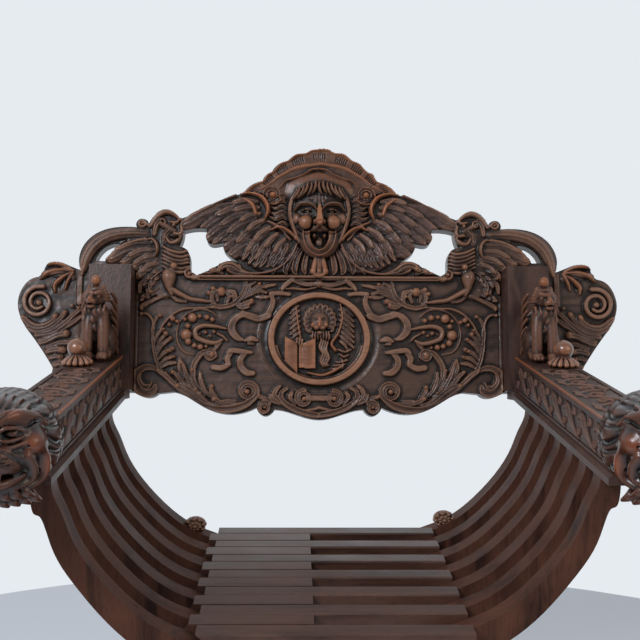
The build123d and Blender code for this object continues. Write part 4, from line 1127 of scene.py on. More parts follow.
# The big leaf's warmer tint is partly worn and partly a painted highlight.
back.glow = 0.2
for rows in (
    [(306, 98, 3.6, 6.5), (312, 88, 4.6, 7.8), (315, 78, 3.0, 7.4)],
    [(308, 97, 4.0, 6.5), (318, 91, 6.4, 8.8), (327, 82, 6.0, 9.2), (327, 73, 3.0, 8.2)],
    [(307, 99, 4.0, 6.5), (321, 100.5, 6.4, 8.8), (336, 97, 6.0, 10.0), (347, 89, 2.6, 8.6)],
    [(308, 101, 3.4, 6.5), (322, 107, 5.2, 9.2), (336, 107.5, 4.8, 9.8), (346, 104.5, 2.0, 8.0)],
):
    half.stroke(rows, sect_soft, ear)
back.glow = 0.0
for rows in (
    [(312, 101, 0.8, 1.2), (326, 103, 1.0, 2.0), (340, 102.5, 0.7, 1.4)],
    [(311, 97, 0.8, 1.2), (323, 95, 1.1, 2.2), (338, 91.5, 0.8, 1.6)],
    [(312, 94, 0.8, 1.2), (319, 87, 1.0, 2.0), (322.5, 78, 0.7, 1.4)],
):
    half.groove(rows)
for rows in (
    [(327, 43.5, 2.6, 8.0), (331, 36, 3.0, 7.2), (342, 30, 3.4, 7.4), (355, 31, 3.6, 7.0),
     (367, 41, 2.8, 6.4)],
    [(314, 47, 2.6, 7.6), (320, 39, 2.6, 6.8), (332, 29, 2.8, 7.0), (348, 24.5, 3.0, 6.8),
     (361, 29, 2.2, 6.0)],
    [(296, 52, 2.2, 6.0), (305, 44, 2.6, 7.0), (316, 33, 3.0, 7.4), (332, 22, 3.2, 7.0), (350, 19, 2.4, 6.2)],
    [(296, 42, 2.0, 6.0), (305, 35, 2.6, 6.6), (317, 27, 2.6, 6.6), (330, 17, 2.6, 6.6), (345, 13, 2.0, 5.8)],
    [(312, 21, 3.4, 8.4), (322, 19, 3.0, 7.2), (334, 13, 2.8, 6.6), (344, 9.5, 2.0, 5.6)],
    [(298, 14, 2.0, 5.4), (309, 10, 2.4, 6.0), (321, 9, 2.6, 6.2), (335, 4, 2.2, 5.6)],
    [(316, 0, 3.4, 8.2), (325, 0.5, 3.0, 7.0), (335, -2, 2.2, 6.0)],
    [(318, -9, 2.6, 6.8), (326, -8, 2.6, 6.2), (332, -10, 1.8, 5.4)],
    [(312, -20, 2.4, 6.0), (320, -16, 2.8, 6.4), (327, -19, 1.8, 5.4)],
    [(304, -30, 2.2, 5.2), (313, -28, 2.6, 5.8), (321, -32, 1.8, 5.0)],
):
    half.stroke(rows, sect_vein, ear)
for u, v, r in ((327.5, 42.5, 3.4), (314.8, 46.7, 3.0), (305.8, 54.6, 2.2), (312.5, 21.8, 3.8),
                (317, 0.4, 3.6),
                (319, -9, 2.6), (297.5, 53, 2.4)):
    half.bud(u, v, r, 4.2, 4.6, ear)

# --- medallion: banded ring, and the winged lion with tower and book ---
ring = "medallion_ring"


def ring_band(outer, inner, high, outer_ease, inner_ease, where=True):
    """One band of the oval ring, its two edges eased."""
    eased = np.clip((outer - oval) / outer_ease, 0, 1) * np.clip((oval - inner) / inner_ease, 0, 1)
    band = np.where((oval < outer) & (oval > inner) & where, high * eased ** 0.5, NO_STROKE)
    back.put(slice(None), slice(None), band, ring)


ring_band(1.0, 0.86, 9.2, 0.016, 0.02)
ring_band(0.885, 0.80, 5.0, 0.02, 0.03, vv < 8)
lion = "medallion_lion"
back.h -= np.where((oval < 0.86), 0.6, 0)


def on_lion(rows, section=sect_round):
    one_stroke(rows, section, lion)


for k in range(13):
    a = math.radians(-35 + 250 * k / 12)
    on_lion([(1 + 12 * math.cos(a), 37 + 12 * math.sin(a), 2.8, 6.4),
             (1 + 17 * math.cos(a + 0.16), 37 + 17 * math.sin(a + 0.16), 3.0, 7.4),
             (1 + 20 * math.cos(a - 0.06), 38 + 20.5 * math.sin(a - 0.06), 2.0, 6.6),
             (1 + 18 * math.cos(a - 0.22), 38 + 18.5 * math.sin(a - 0.22), 1.2, 6.0)], sect_twin)
back.dome(1, 37, 11.5, 13, 3.0, 6.5, lion)
for side in (1, -1):
    on_lion([(0.5 + side * 1.5, 40.5, 1.8, 11), (0.5 + side * 5, 43.5, 2.2, 11.4),
             (0.5 + side * 9.6, 41.5, 1.6, 9)],
            sect_soft)
    back.scoop(0.5 + side * 5.2, 38.8, 2.8, 1.7, 3.4)
    back.dome(0.5 + side * 5.2, 38.4, 1.5, 1.1, 6.0, 2.2, lion)
    back.dome(0.5 + side * 3.6, 28.8, 3.8, 3.2, 6.0, 5.0, lion)
    # The cheeks' warmer tint is partly worn and partly a painted highlight.
    back.glow = 0.5
    back.dome(0.5 + side * 8.0, 32.5, 3.0, 3.6, 5.0, 4.4, lion)
    back.glow = 0.0
# The nose's warmer tint is partly worn and partly a painted highlight.
back.glow = 0.8
on_lion([(0.5, 42, 1.8, 10), (0.5, 36, 2.3, 12), (0.5, 31.4, 3.0, 13.0)])
back.glow = 0.0
back.scoop(0.5, 25.6, 3.6, 1.5, 3.6)
back.dome(0.5, 22.8, 4.0, 2.8, 4.0, 5.0, lion)
for k in range(-3, 4):
    on_lion([(2 + 3.2 * k, 27 - abs(k), 1.5, 6.0), (2 + 3.6 * k, 20 - abs(k), 1.8, 6.0),
             (2 + 3.0 * k, 13, 1.0, 4.6)])
for k in range(7):
    v0 = 58 - 6.6 * k
    for rows in (
        [(-26 + 0.5 * k, v0 - 1, 2.2, 5.0), (-31 + 0.3 * k, v0 - 5, 3.0, 5.8),
         (-36 + 0.2 * k, v0 - 11, 1.6, 4.8)],
        [(28, v0 - 3, 2.4, 5.0), (35, v0 - 7, 3.2, 6.0), (43, v0 - 14, 1.8, 5.0)],
        [(26, v0 - 6, 2.0, 5.8), (31, v0 - 10, 2.6, 6.8), (36, v0 - 17, 1.4, 5.6)],
    ):
        on_lion(rows, sect_vein)
# The limbs and band are tinted warmer: partly worn, partly a painted highlight.
back.glow = 0.3
on_lion([(26, 60.9, 1.6, 6.8), (28.4, 48, 2.6, 7.8), (28.4, 38.3, 3.0, 8.2), (23.5, 22, 3.0, 8.4),
         (15.5, 9.2, 3.6, 8.6),
         (20.3, 1.2, 4.0, 8.0)], sect_soft)
on_lion([(-29, 61, 1.4, 6.0), (-27, 40, 2.4, 6.8), (-22.5, 12.7, 2.4, 6.8)], sect_soft)
back.glow = 0.2
on_lion([(-13.6, -27, 2.6, 7.8), (2.6, -30.3, 4.4, 8.0), (15, -26.5, 4.6, 8.0), (26.8, -19.8, 3.6, 7.0)],
        sect_soft)
back.glow = 0.0
# The tower as a plain leaning slab, and the closed book held up beside it.
for u0, u1, top0, top1, foot0, foot1, rise in ((-42.6, -26.5, 18.9, 9.2, -13.4, -28.7, 7.2),
                                               (-24.9, -4.7, 7.6, 15.7, -21.4, -22.0, 8.2)):
    part = np.clip((uu - u0) / (u1 - u0), 0, 1)
    within = (uu > u0) & (uu < u1) & (vv < top0 + (top1 - top0) * part) & (vv > foot0 + (foot1 - foot0)
                                                                           * part)
    # Tower and book are tinted warmer: partly worn, partly a painted highlight.
    back.glow = 0.35
    back.put(slice(None), slice(None), np.where(within & (oval < 0.86),
                                                rise - 0.05 * np.abs(uu - (u0 + u1) / 2), -99.0), lion)
back.glow = 0.0
for k in range(5):
    one_groove([(-20, 3 - 5.0 * k, 0.4, 0.3), (-9, 5 - 5.4 * k, 0.4, 0.5)])
one_groove([(-21.6, 5, 0.6, 1.0), (-21.6, -17, 0.6, 1.0)])
for k in range(3):
    on_lion([(-27 + 3.2 * k, 16 - k, 2.0, 8.0), (-28 + 3.2 * k, 9.5 - k, 1.8, 9.4)])
for k in range(4):
    on_lion([(3 + 2.6 * k, 14 - k, 1.6, 6.8), (0.5 + 2.8 * k, 5 - k, 2.0, 8.0),
             (4.5 + 2.6 * k, -4 - 1.4 * k, 1.9, 8.0),
             (1.6 + 2.6 * k, -13 - 0.8 * k, 1.7, 7.4), (5.6 + 2.4 * k, -20 + 0.6 * k, 1.0, 6.4)])
for k in range(4):
    on_lion([(24 + 2 * k, 2 - 6 * k, 1.5, 5.4), (32 - k, -1 - 6 * k, 1.7, 6.0),
             (40 - 3 * k, 2 - 6 * k, 1.1, 5.0)])
for k in range(3):
    on_lion([(22 - 3 * k, -14 - 4 * k, 1.5, 5.2), (30 - 3 * k, -13 - 4 * k, 1.6, 5.6),
             (36 - 3 * k, -11 - 5 * k, 1.0, 4.8)])

# --- ribbon folds flying from the ring ---
for rows, section in (
    ([(38, 71, 2.8, 5.2), (48, 72.5, 3.2, 5.6), (60, 71.5, 3.4, 6.0)], sect_flat),
    ([(60, 71.5, 3.2, 6.4), (57.5, 62, 3.8, 5.4), (61, 51, 4.6, 4.8), (66, 43.5, 4.8, 5.4)], sect_flat),
    ([(63, 44, 5.0, 6.0), (75, 40.5, 5.2, 4.8), (86, 43.5, 5.2, 5.8), (95, 46, 4.8, 6.4)], sect_flat),
    ([(92, 47, 3.6, 6.4), (102, 44, 4.6, 6.6), (109, 36, 5.4, 5.4), (109.5, 26, 5.6, 5.2),
      (103, 18, 4.6, 5.4),
      (96, 15, 2.2, 5.0)], sect_flat),
    ([(77, 13, 2.2, 5.2), (84, 15, 4.2, 6.2), (92, 12.5, 2.0, 5.0)], sect_flat),
    ([(82, 8.5, 1.4, 4.4), (88, 9.5, 2.8, 4.8)], sect_flat),
    ([(84, -1.5, 2.4, 5.4), (95, -0.5, 3.8, 6.2), (108, 1.0, 3.8, 6.6), (113, -2, 2.4, 5.8)], sect_flat),
    ([(92, -3, 3.6, 5.2), (97.5, -10, 4.6, 5.8), (97, -19, 5.0, 5.0), (90, -26.5, 4.8, 5.8),
      (82, -27.5, 3.6, 5.4)], sect_flat),
    ([(109, -2, 3.6, 5.2), (113.5, -9, 4.4, 5.8), (112, -16, 3.8, 6.2)], sect_flat),
    ([(112, -17, 3.8, 5.6), (121, -21.5, 4.4, 6.2), (131, -20.5, 4.2, 5.2)], sect_flat),
):
    half.stroke(rows, section)

# --- paired scrolls under the medallion and the leaf outside each ---
one_stroke([(-14, -58.5, 4.0, 5.2), (14, -58.5, 4.0, 5.2)], sect_flat)
half.volute(19, -59, 12.6, 95, -1.45, 2.6, 6.2, None, 3.4)
half.stroke([(2, -79, 3.2, 4.6), (14, -77, 3.4, 5.2), (28, -72.5, 3.4, 5.6), (40, -66, 3.2, 6.0),
             (47, -58, 2.8, 6.4),
             (46, -50, 2.4, 6.6), (40, -46.5, 1.6, 6.0)], sect_hollow)
for rows in (
    [(30, -66, 1.6, 4.2), (36, -58, 2.4, 5.6), (34, -52, 1.8, 5.6)],
    [(42, -66, 1.8, 5.0), (50, -60, 2.6, 6.2), (55, -54, 2.8, 6.8), (52, -47, 2.2, 6.8), (48, -43, 1.4, 6.0)],
    [(48, -65, 1.8, 5.0), (57, -61, 2.6, 6.4), (60, -55, 1.8, 6.4)],
):
    half.stroke(rows, sect_vein)
half.stroke([(0, -70, 2.4, 4.8), (8, -72, 2.2, 4.8), (20, -73.5, 1.6, 4.6)])
half.volute(66.5, -70, 9.8, 140, -1.4, 2.4, 7.0, None, 2.4)
half.stroke([(60, -59, 1.4, 4.4), (66, -58.5, 2.2, 5.6), (73, -56.5, 1.8, 6.0)], sect_vein)
half.bud(73.5, -56.5, 2.4, 3.0, 4.0)

# --- the great lower scroll: eye, band along the bottom edge, spray rising from it ---
half.volute(88.5, -50.5, 15.0, 230, -1.65, 2.9, 6.6, None, 3.6,
            stem=((170, -53, 2.2, 5.4), (156, -61, 3.0, 5.8), (142, -68.5, 3.6, 6.2), (126, -73, 4.0, 6.6),
                  (108, -72.5, 4.2, 6.8), (92, -67.5, 4.0, 6.8)))
for rows in (
    [(92, -64, 1.6, 4.6), (108, -66.5, 2.2, 5.4), (122, -63.5, 2.6, 6.2), (130, -58.5, 2.4, 6.6)],
    [(104, -62, 1.4, 4.4), (116, -62.5, 1.9, 5.2), (128, -66.5, 2.0, 5.6), (138, -66, 2.0, 6.0)],
    [(128, -68, 2.4, 5.4), (142, -62, 3.0, 6.4), (154, -52, 3.0, 6.8), (165, -44.5, 3.2, 7.2),
     (174, -42, 2.0, 6.8)],
    [(134, -66, 2.0, 5.0), (146, -56, 2.6, 6.2), (156, -44, 2.8, 6.6), (163, -31, 2.6, 7.0),
     (168, -17, 1.6, 6.8)],
    [(138, -66, 2.0, 5.0), (152, -54, 2.6, 6.2), (166, -41, 2.8, 6.6), (174, -31, 2.4, 6.8),
     (180, -26, 1.6, 6.4)],
    [(142, -66, 2.0, 5.0), (160, -54, 2.4, 5.8), (176, -42, 2.6, 6.2), (188, -31, 2.8, 6.8),
     (198, -24.5, 2.0, 6.6)],
    [(150, -46, 1.6, 5.2), (154, -36, 2.2, 6.0), (157, -25, 1.6, 6.2)],
    [(166, -34, 1.4, 5.6), (172, -22, 2.0, 6.4), (171, -11, 1.4, 6.4)],
):
    half.stroke(rows, sect_vein)
half.volute(133, -5, 8.0, 205, -1.15, 2.6, 6.6, None, 3.8,
            stem=((140, -55, 1.8, 5.2), (149, -45, 2.4, 6.0), (153.5, -32, 2.8, 6.6), (153, -19, 3.0, 6.8),
                  (147, -8, 3.0, 6.8), (139, -1.5, 2.8, 6.8)))
half.stroke([(134, -56, 1.6, 4.8), (141, -49, 2.4, 5.8), (146, -38, 2.4, 6.0), (147, -27, 1.4, 5.4)],
            sect_vein)
half.stroke([(126, -57, 1.4, 4.6), (132, -51, 2.2, 5.8), (133, -44.5, 1.8, 6.2)], sect_vein)
for u, v, r in ((130, -59, 3.2), (132.5, -45, 2.6), (157, -24, 2.6), (169, -15, 2.4), (180, -26, 2.4),
                (175, -43.5, 3.0),
                (152, -47, 2.6), (146, -52, 2.2), (198, -24, 2.6)):
    half.bud(u, v, r, 3.2, 4.4)

# --- end scroll beside the post ---
half.stroke([(199, -24, 2.4, 6.0), (207, -21, 3.2, 6.4), (217, -22, 4.0, 6.8), (225.5, -29, 4.6, 6.8),
             (227, -39, 5.0, 6.6),
             (221, -49, 5.2, 6.6), (211, -53, 4.6, 6.4), (203, -49, 3.6, 6.2), (202, -43.5, 2.2, 5.6)],
            sect_hollow)
half.stroke([(219, -28, 1.4, 5.0), (220.5, -36, 2.4, 5.8), (215.5, -43.5, 2.6, 6.0), (209, -43.5, 1.6, 5.4)])
half.stroke([(206, -39, 1.2, 4.6), (209, -46, 1.9, 5.4), (216, -48, 1.2, 5.0)])

# --- outer stem with its flared top and side leaves ---
half.stroke([(194, -27, 2.2, 6.0), (200.5, -13, 2.2, 6.2), (204, 2, 2.0, 6.0), (205.5, 18, 1.8, 5.8),
             (205, 32, 1.9, 5.8),
             (200, 42, 1.5, 5.6)], sect_hollow)
half.stroke([(205.5, 26, 1.6, 5.2), (208, 38, 1.8, 5.8), (214, 45, 1.9, 6.0), (222, 46, 1.3, 5.6)])
for u, v, r in ((197, 43.5, 2.6), (221.5, 45.5, 2.3)):
    half.bud(u, v, r, 3.0, 3.8)
for rows in (
    [(202, 0, 1.2, 5.0), (198, 11, 2.0, 6.0), (190, 21, 2.0, 6.6)],
    [(201, -6, 1.2, 5.0), (195, 6, 2.0, 6.2), (185, 15, 1.8, 6.6)],
    [(200, -12, 1.2, 5.0), (192, -3, 2.2, 6.2), (183, 2, 1.8, 6.4)],
    [(198, -18, 1.2, 5.0), (190, -10, 2.2, 6.2), (180, -7, 1.6, 6.4)],
    [(203, 8, 1.1, 4.8), (200, 18, 1.8, 5.8), (194, 26, 1.4, 6.0)],
    [(196, -22, 1.2, 5.0), (186, -16, 2.0, 6.0), (177, -15, 1.5, 6.0)],
):
    half.stroke(rows, sect_vein)
for u, v, r in ((190.5, 21.5, 3.2), (184.5, 15, 2.4), (182, 2.5, 2.8), (187, 0, 2.2), (180, -7, 2.2),
                (182, 39, 3.6),
                (176.5, 36.5, 2.8), (186, 33, 2.6), (193, 26.5, 2.2)):
    half.bud(u, v, r, 3.4, 4.4)

# --- dolphin mask in its thin hoop, with berries ---
hoop = [(127, 44, 1.0, 3.6), (134, 50, 1.1, 3.8), (146, 53, 1.2, 4.0), (160, 49.5, 1.2, 4.0),
        (171, 40, 1.2, 4.0),
        (176, 27, 1.2, 4.0), (175, 12, 1.2, 4.0), (167, 0, 1.2, 3.8), (154, -4, 1.0, 3.4)]
half.stroke(hoop)
for rows in (
    [(121, 53, 1.4, 4.4), (134, 55, 1.6, 4.6), (151, 54, 1.6, 4.6), (167, 53, 1.7, 4.8), (181, 46, 1.8, 5.0),
     (192, 34, 1.8, 5.4), (197, 24, 1.4, 5.6)],
    [(115, 27.5, 1.6, 5.8), (128, 30, 2.6, 6.6), (143, 31, 3.2, 7.0), (152.5, 26, 3.8, 7.2),
     (151.5, 17, 3.8, 7.0), (142, 12, 3.4, 6.6), (129, 9.5, 3.0, 6.6), (120, 13, 1.8, 6.0)],
    [(114, 13, 1.2, 5.0), (119, 18, 1.6, 5.6), (126, 22, 1.4, 5.4)],
):
    half.stroke(rows)
half.stroke([(122, 10, 1.4, 5.4), (127, 5, 2.0, 5.8), (130, 0, 1.2, 5.0)], sect_vein)
for u, v, r, rise in ((130, 23.5, 2.6, 4.6), (141, 22.5, 2.8, 4.8), (135.5, 19.5, 2.0, 4.2),
                      (147, 21, 1.8, 4.0),
                      (157.5, 41, 6.2, 6.2), (165.5, 20, 7.2, 6.6), (163, 31, 3.8, 5.6), (140, 42, 4.0, 5.2),
                      (132, 38.5, 3.4, 5.0), (148.5, 43, 3.0, 4.8), (162, 10.5, 4.6, 5.4),
                      (154.5, 6.5, 3.8, 5.0),
                      (147, 5, 4.2, 5.2), (139.5, 4.5, 2.4, 4.4), (166, 38, 2.6, 4.8)):
    half.bud(u, v, r, 1.6, rise)

# --- upper field: flower in its curl, acanthus to the left, foot of the griffin to the right ---
half.stroke([(91, 86, 2.0, 4.8), (92.5, 77, 2.6, 5.6), (97, 67, 2.8, 6.0), (107, 58, 2.8, 6.2),
             (121, 54.5, 2.6, 6.0),
             (133, 57, 2.0, 5.6)], sect_hollow)
for rows in (
    [(108, 58, 1.4, 4.6), (105, 66, 2.6, 6.4), (107, 73, 2.6, 6.8), (112, 75, 1.8, 6.2)],
    [(128, 58, 1.4, 4.6), (133, 64, 2.4, 6.0), (132.5, 72, 2.4, 6.6), (128, 76.5, 1.6, 6.2)],
    [(116, 62, 1.6, 4.8), (113.5, 69, 2.2, 5.8), (115, 77, 1.6, 5.8)],
):
    half.stroke(rows, sect_vein)
half.bud(121.5, 74.5, 6.0, 2.6, 5.2)
half.bud(121.5, 74.5, 2.6, 6.0, 2.8)
half.stroke([(126, 62, 1.4, 4.8), (127, 69, 2.0, 5.6), (124, 76, 1.4, 5.6)], sect_vein)
for u, v, r in ((132.5, 77.5, 3.4), (137, 72.5, 3.0), (108.5, 68.5, 2.4)):
    half.bud(u, v, r, 3.0, 4.6)
for rows in (
    [(104, 58, 1.6, 5.0), (95, 58.5, 2.6, 6.2), (85, 62.5, 2.6, 7.0)],
    [(102, 57, 1.4, 4.8), (95, 54.5, 2.2, 5.8), (88, 56, 1.8, 6.4)],
    [(96, 64, 1.6, 5.0), (86, 70, 2.2, 6.0), (76, 74, 2.2, 6.4), (66, 72, 1.4, 6.0)],
    [(93, 70, 1.6, 5.0), (84, 77, 2.2, 6.0), (75, 84, 1.6, 6.2)],
    [(88, 70, 1.4, 4.8), (77, 78, 2.0, 5.8), (66, 81, 2.0, 6.0), (55, 83, 1.3, 5.8)],
    [(80, 68, 1.2, 4.6), (72, 67.5, 1.9, 5.6), (63, 68, 1.3, 5.8)],
    [(90, 74, 1.2, 4.8), (87, 82, 1.8, 5.6), (80, 86, 1.2, 5.4)],
):
    half.stroke(rows, sect_vein)
for u, v, r in ((84, 62, 3.2), (88, 57, 2.4), (74.5, 84, 2.6), (64, 67.5, 2.2)):
    half.bud(u, v, r, 3.2, 4.6)
half.stroke([(134, 61, 1.8, 5.4), (146, 62.5, 2.6, 6.6), (160, 64.5, 3.0, 7.2), (172, 70, 3.6, 8.2),
             (183, 76, 4.2, 9.4)])
half.stroke([(166, 62, 1.2, 4.6), (176, 64, 1.9, 5.6), (184, 69, 1.4, 6.0)], sect_vein)
half.groove([(224.8, -48, 0.9, 0.9), (224.8, 60, 0.9, 0.9)])

# Nothing stands proud where the posts clamp the board.
back.h = np.where(behind_post, 0.12, back.h)
back.owner = np.where(behind_post, 0, back.owner)
back.h = np.maximum(back.h + hand_waver(back.shape, 6, 0.35) * (back.h > GROUND + 0.6)
                    + hand_waver(back.shape, 3, 0.25) * ~behind_post, 0.1)
back.names[0] = "back_carving"

finish_of = {name: walnut_carved for name in back.names}
finish_of.update({ring: walnut_ring, wing + "right": walnut_wing, wing + "left": walnut_wing})
back_pieces = carved_pieces(back, board_used, board_rim, on_back, INTO_BOARD, finish_of)
for name, piece in back_pieces.items():
    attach(piece, "back")
    if name in nodes:
        piece.name = name + "_carved"
        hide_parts(name)


# ---- Lion heads on the arm ends ----

def lion_head_clay():
    """Broad smooth face of a lion, frowning, its muzzle ribbed, folds of mane swept behind it."""
    head = Clay((-52, -2, -52), (52, 112, 52), 1.0)
    # Skull, forehead and the full cheeks.
    head.ball((0, 42, 2), (40, 44, 39), 3)
    head.ball((0, 20, 0), (36, 22, 36), 3)
    head.ball((0, 62, 20), (34, 26, 20), 6)
    head.ball((0, 80, -4), (27, 21, 17), 7)
    head.ball((0, 72, -22), (22, 22, 15), 6)
    for s in (1, -1):
        head.ball((s * 28, 64, 8), (13, 15, 12), 5)
        # Cheeks, brows, lips and nose are tinted a warmer brown: partly worn, partly a painted highlight.
        head.glow((s * 30, 74, 8), 12, 0.45)
        # Muzzle pads and the whisker ribs cut across them.
        head.ball((s * 10, 90, -1), (12.5, 11, 10.5), 4)
        for k in range(7):
            z0 = -10 + 2.5 * k
            head.groove([(s * 3.5, 101.5, z0, 0.5), (s * 11, 101.5, z0 + 0.3, 0.9),
                         (s * 19, 96, z0 + 1.0, 0.8),
                         (s * 23, 90, z0 + 2, 0.4)], 0.7)
        # Brow: a long ridge dipping to the nose, with a second fold over it.
        head.limb([(s * 3, 91, 19, 3.4), (s * 9, 87, 27, 4.2), (s * 21, 77, 32, 4.6), (s * 32, 62, 28, 3.8),
                   (s * 37, 50, 20, 2.6)], 5)
        head.limb([(s * 8, 87, 21, 1.6), (s * 17, 83, 26, 2.0), (s * 27, 73, 25, 2.0),
                   (s * 33, 63, 18, 1.6)], 2.5)
        head.groove([(s * 5, 90, 24, 0.8), (s * 12, 87, 31, 1.3), (s * 22, 77, 37.5, 1.4),
                     (s * 33, 62, 34, 1.0)], 1.2)
        head.glow((s * 22, 82, 33), 8, 0.25)
        # Eye in a deep socket, with heavy lids and two bags under it.
        head.hollow((s * 18, 89, 19), (9.5, 8, 5.5), 2.5)
        head.ball((s * 18, 80.5, 18), (5.8, 5.4, 3.7), 0.6)
        head.limb([(s * 9, 88, 17, 1.3), (s * 14, 88.5, 22.4, 1.6), (s * 22, 84.5, 23, 1.6),
                   (s * 28, 76, 18, 1.3)], 0.8)
        head.limb([(s * 9, 88, 15.5, 1.2), (s * 15, 88.5, 12.6, 1.6), (s * 23, 83, 13.6, 1.5),
                   (s * 29, 75, 16, 1.1)], 0.8)
        head.limb([(s * 8, 89, 11, 1.4), (s * 16, 88.5, 7.6, 2.0), (s * 26, 80, 9.6, 1.8),
                   (s * 33, 69, 14, 1.3)], 1.6)
        head.groove([(s * 7, 91, 6.5, 0.8), (s * 16, 91, 4.2, 1.3), (s * 27, 82, 5.6, 1.1),
                     (s * 34, 71, 10, 0.6)], 1.2)
        # Fold from the nose past the corner of the mouth, and the curved lip round it.
        head.groove([(s * 9, 98, 9, 0.8), (s * 21, 93, 3, 1.7), (s * 27, 84, -6, 2.2),
                     (s * 27, 78, -16, 1.7)], 1.6)
        head.limb([(s * 29, 78, -1, 3.0), (s * 31, 70, -11, 4.2), (s * 28, 68, -22, 4.2),
                   (s * 18, 80, -26, 3.0)], 4.5)
        head.limb([(s * 35, 62, 4, 3.0), (s * 37, 54, -10, 4.6), (s * 33, 53, -24, 4.4),
                   (s * 22, 64, -32, 3.0)], 4.5)
        head.groove([(s * 34, 70, 2, 0.8), (s * 37, 62, -10, 1.6), (s * 33, 61, -23, 1.6),
                     (s * 24, 70, -31, 1.0)], 1.0)
        head.glow((s * 40, 54, -12), 13, 0.45)
    # Nose: broad bridge widening to a full tip, tinted warmest, partly worn and partly a painted highlight.
    head.limb([(0, 82, 27, 6.0), (0, 91, 19, 6.4), (0, 96, 12, 7.0)], 3.5)
    head.ball((0, 99, 8), (10, 7.5, 7.2), 2.0)
    head.glow((0, 106, 8), 15, 1.0)
    for s in (1, -1):
        head.ball((s * 7.5, 96, 6.5), (4.6, 5.5, 4.6), 1.4)
        head.hollow((s * 4.8, 104.5, 3.8), (2.6, 3.0, 1.7), 0.7)
    head.groove([(0, 104, 2, 1.0), (0, 103, -9, 1.2)], 0.8)
    # Mouth: a deep cut between the pads and the heavy lower lip.
    head.hollow((0, 94, -15.5), (23, 20, 3.6), 2.0)
    head.limb([(-25, 74, -17, 2.6), (-15, 90, -20.5, 4.0), (0, 96, -22, 4.6), (15, 90, -20.5, 4.0),
               (25, 74, -17, 2.6)], 2.5)
    for s in (1, -1):
        head.limb([(s * 12, 96, -12, 2.2), (s * 12.5, 96.5, -18, 0.8)], 0.6)
    # Hair over the forehead and the swept mane: full smooth masses, combed with long cuts.
    head.ball((0, 54, 18), (34, 30, 28), 5)
    head.ball((0, 30, 2), (45, 32, 44), 5)
    head.ball((0, 8, 0), (43, 22, 43), 5)
    over = lambda x, wide, high: high * math.sqrt(max(0.0, 1 - (x / wide) ** 2))
    for k in range(-6, 7):
        x0 = 6.0 * k
        head.groove([(x0 * 0.70 + 1.5, 79, over(x0 * 0.70, 30, 35), 0.8),
                     (x0 * 0.88 - 1.2, 67, 2 + over(x0 * 0.88, 38, 42), 1.8),
                     (x0 * 1.02 + 1.4, 50, 2 + over(x0 * 1.02, 43, 44.5), 2.3),
                     (x0 * 1.08 - 1.2, 30, 2 + over(x0 * 1.08, 45, 44.5), 2.1),
                     (x0 * 1.04, 6, over(x0 * 1.04, 44, 44), 1.6)], 1.2)
    for s in (1, -1):
        for k in range(12):
            a = math.radians(52 - 14.5 * k)
            bend = 0.20 if k % 2 else 0.10
            deep = 1.0 if k % 2 else 0.7
            head.groove([(s * 36 * math.cos(a + bend), 62, 4 + 34 * math.sin(a + bend), 0.8),
                         (s * 40.5 * math.cos(a), 49, 2 + 40 * math.sin(a), 2.2 * deep),
                         (s * 44.8 * math.cos(a - bend), 31, 2 + 44 * math.sin(a - bend), 3.0 * deep),
                         (s * 43.4 * math.cos(a - 0.4 * bend), 6, 43 * math.sin(a - 0.4 * bend),
                          2.4 * deep)], 1.4)
    # Beard: short locks in two rows, ragged at the lower edge.
    for row, (z0, z1, y0) in enumerate(((-27, -36, 86), (-34, -44, 76), (-38, -47, 58))):
        for k in range(-4, 5):
            x0 = 7.2 * k + (3.4 if row % 2 else 0)
            back_off = 0.020 * x0 * x0
            head.limb([(x0 * 0.80, y0 - back_off, z0, 3.2),
                       (x0 * 0.92 + 1.2, y0 + 1 - back_off, (z0 + z1) / 2, 3.9),
                       (x0 * 0.98 - 1.0, y0 - 5 - back_off, z1, 1.8)], 0.9)
    return head


# ---- Seated lions, standing before the posts ----

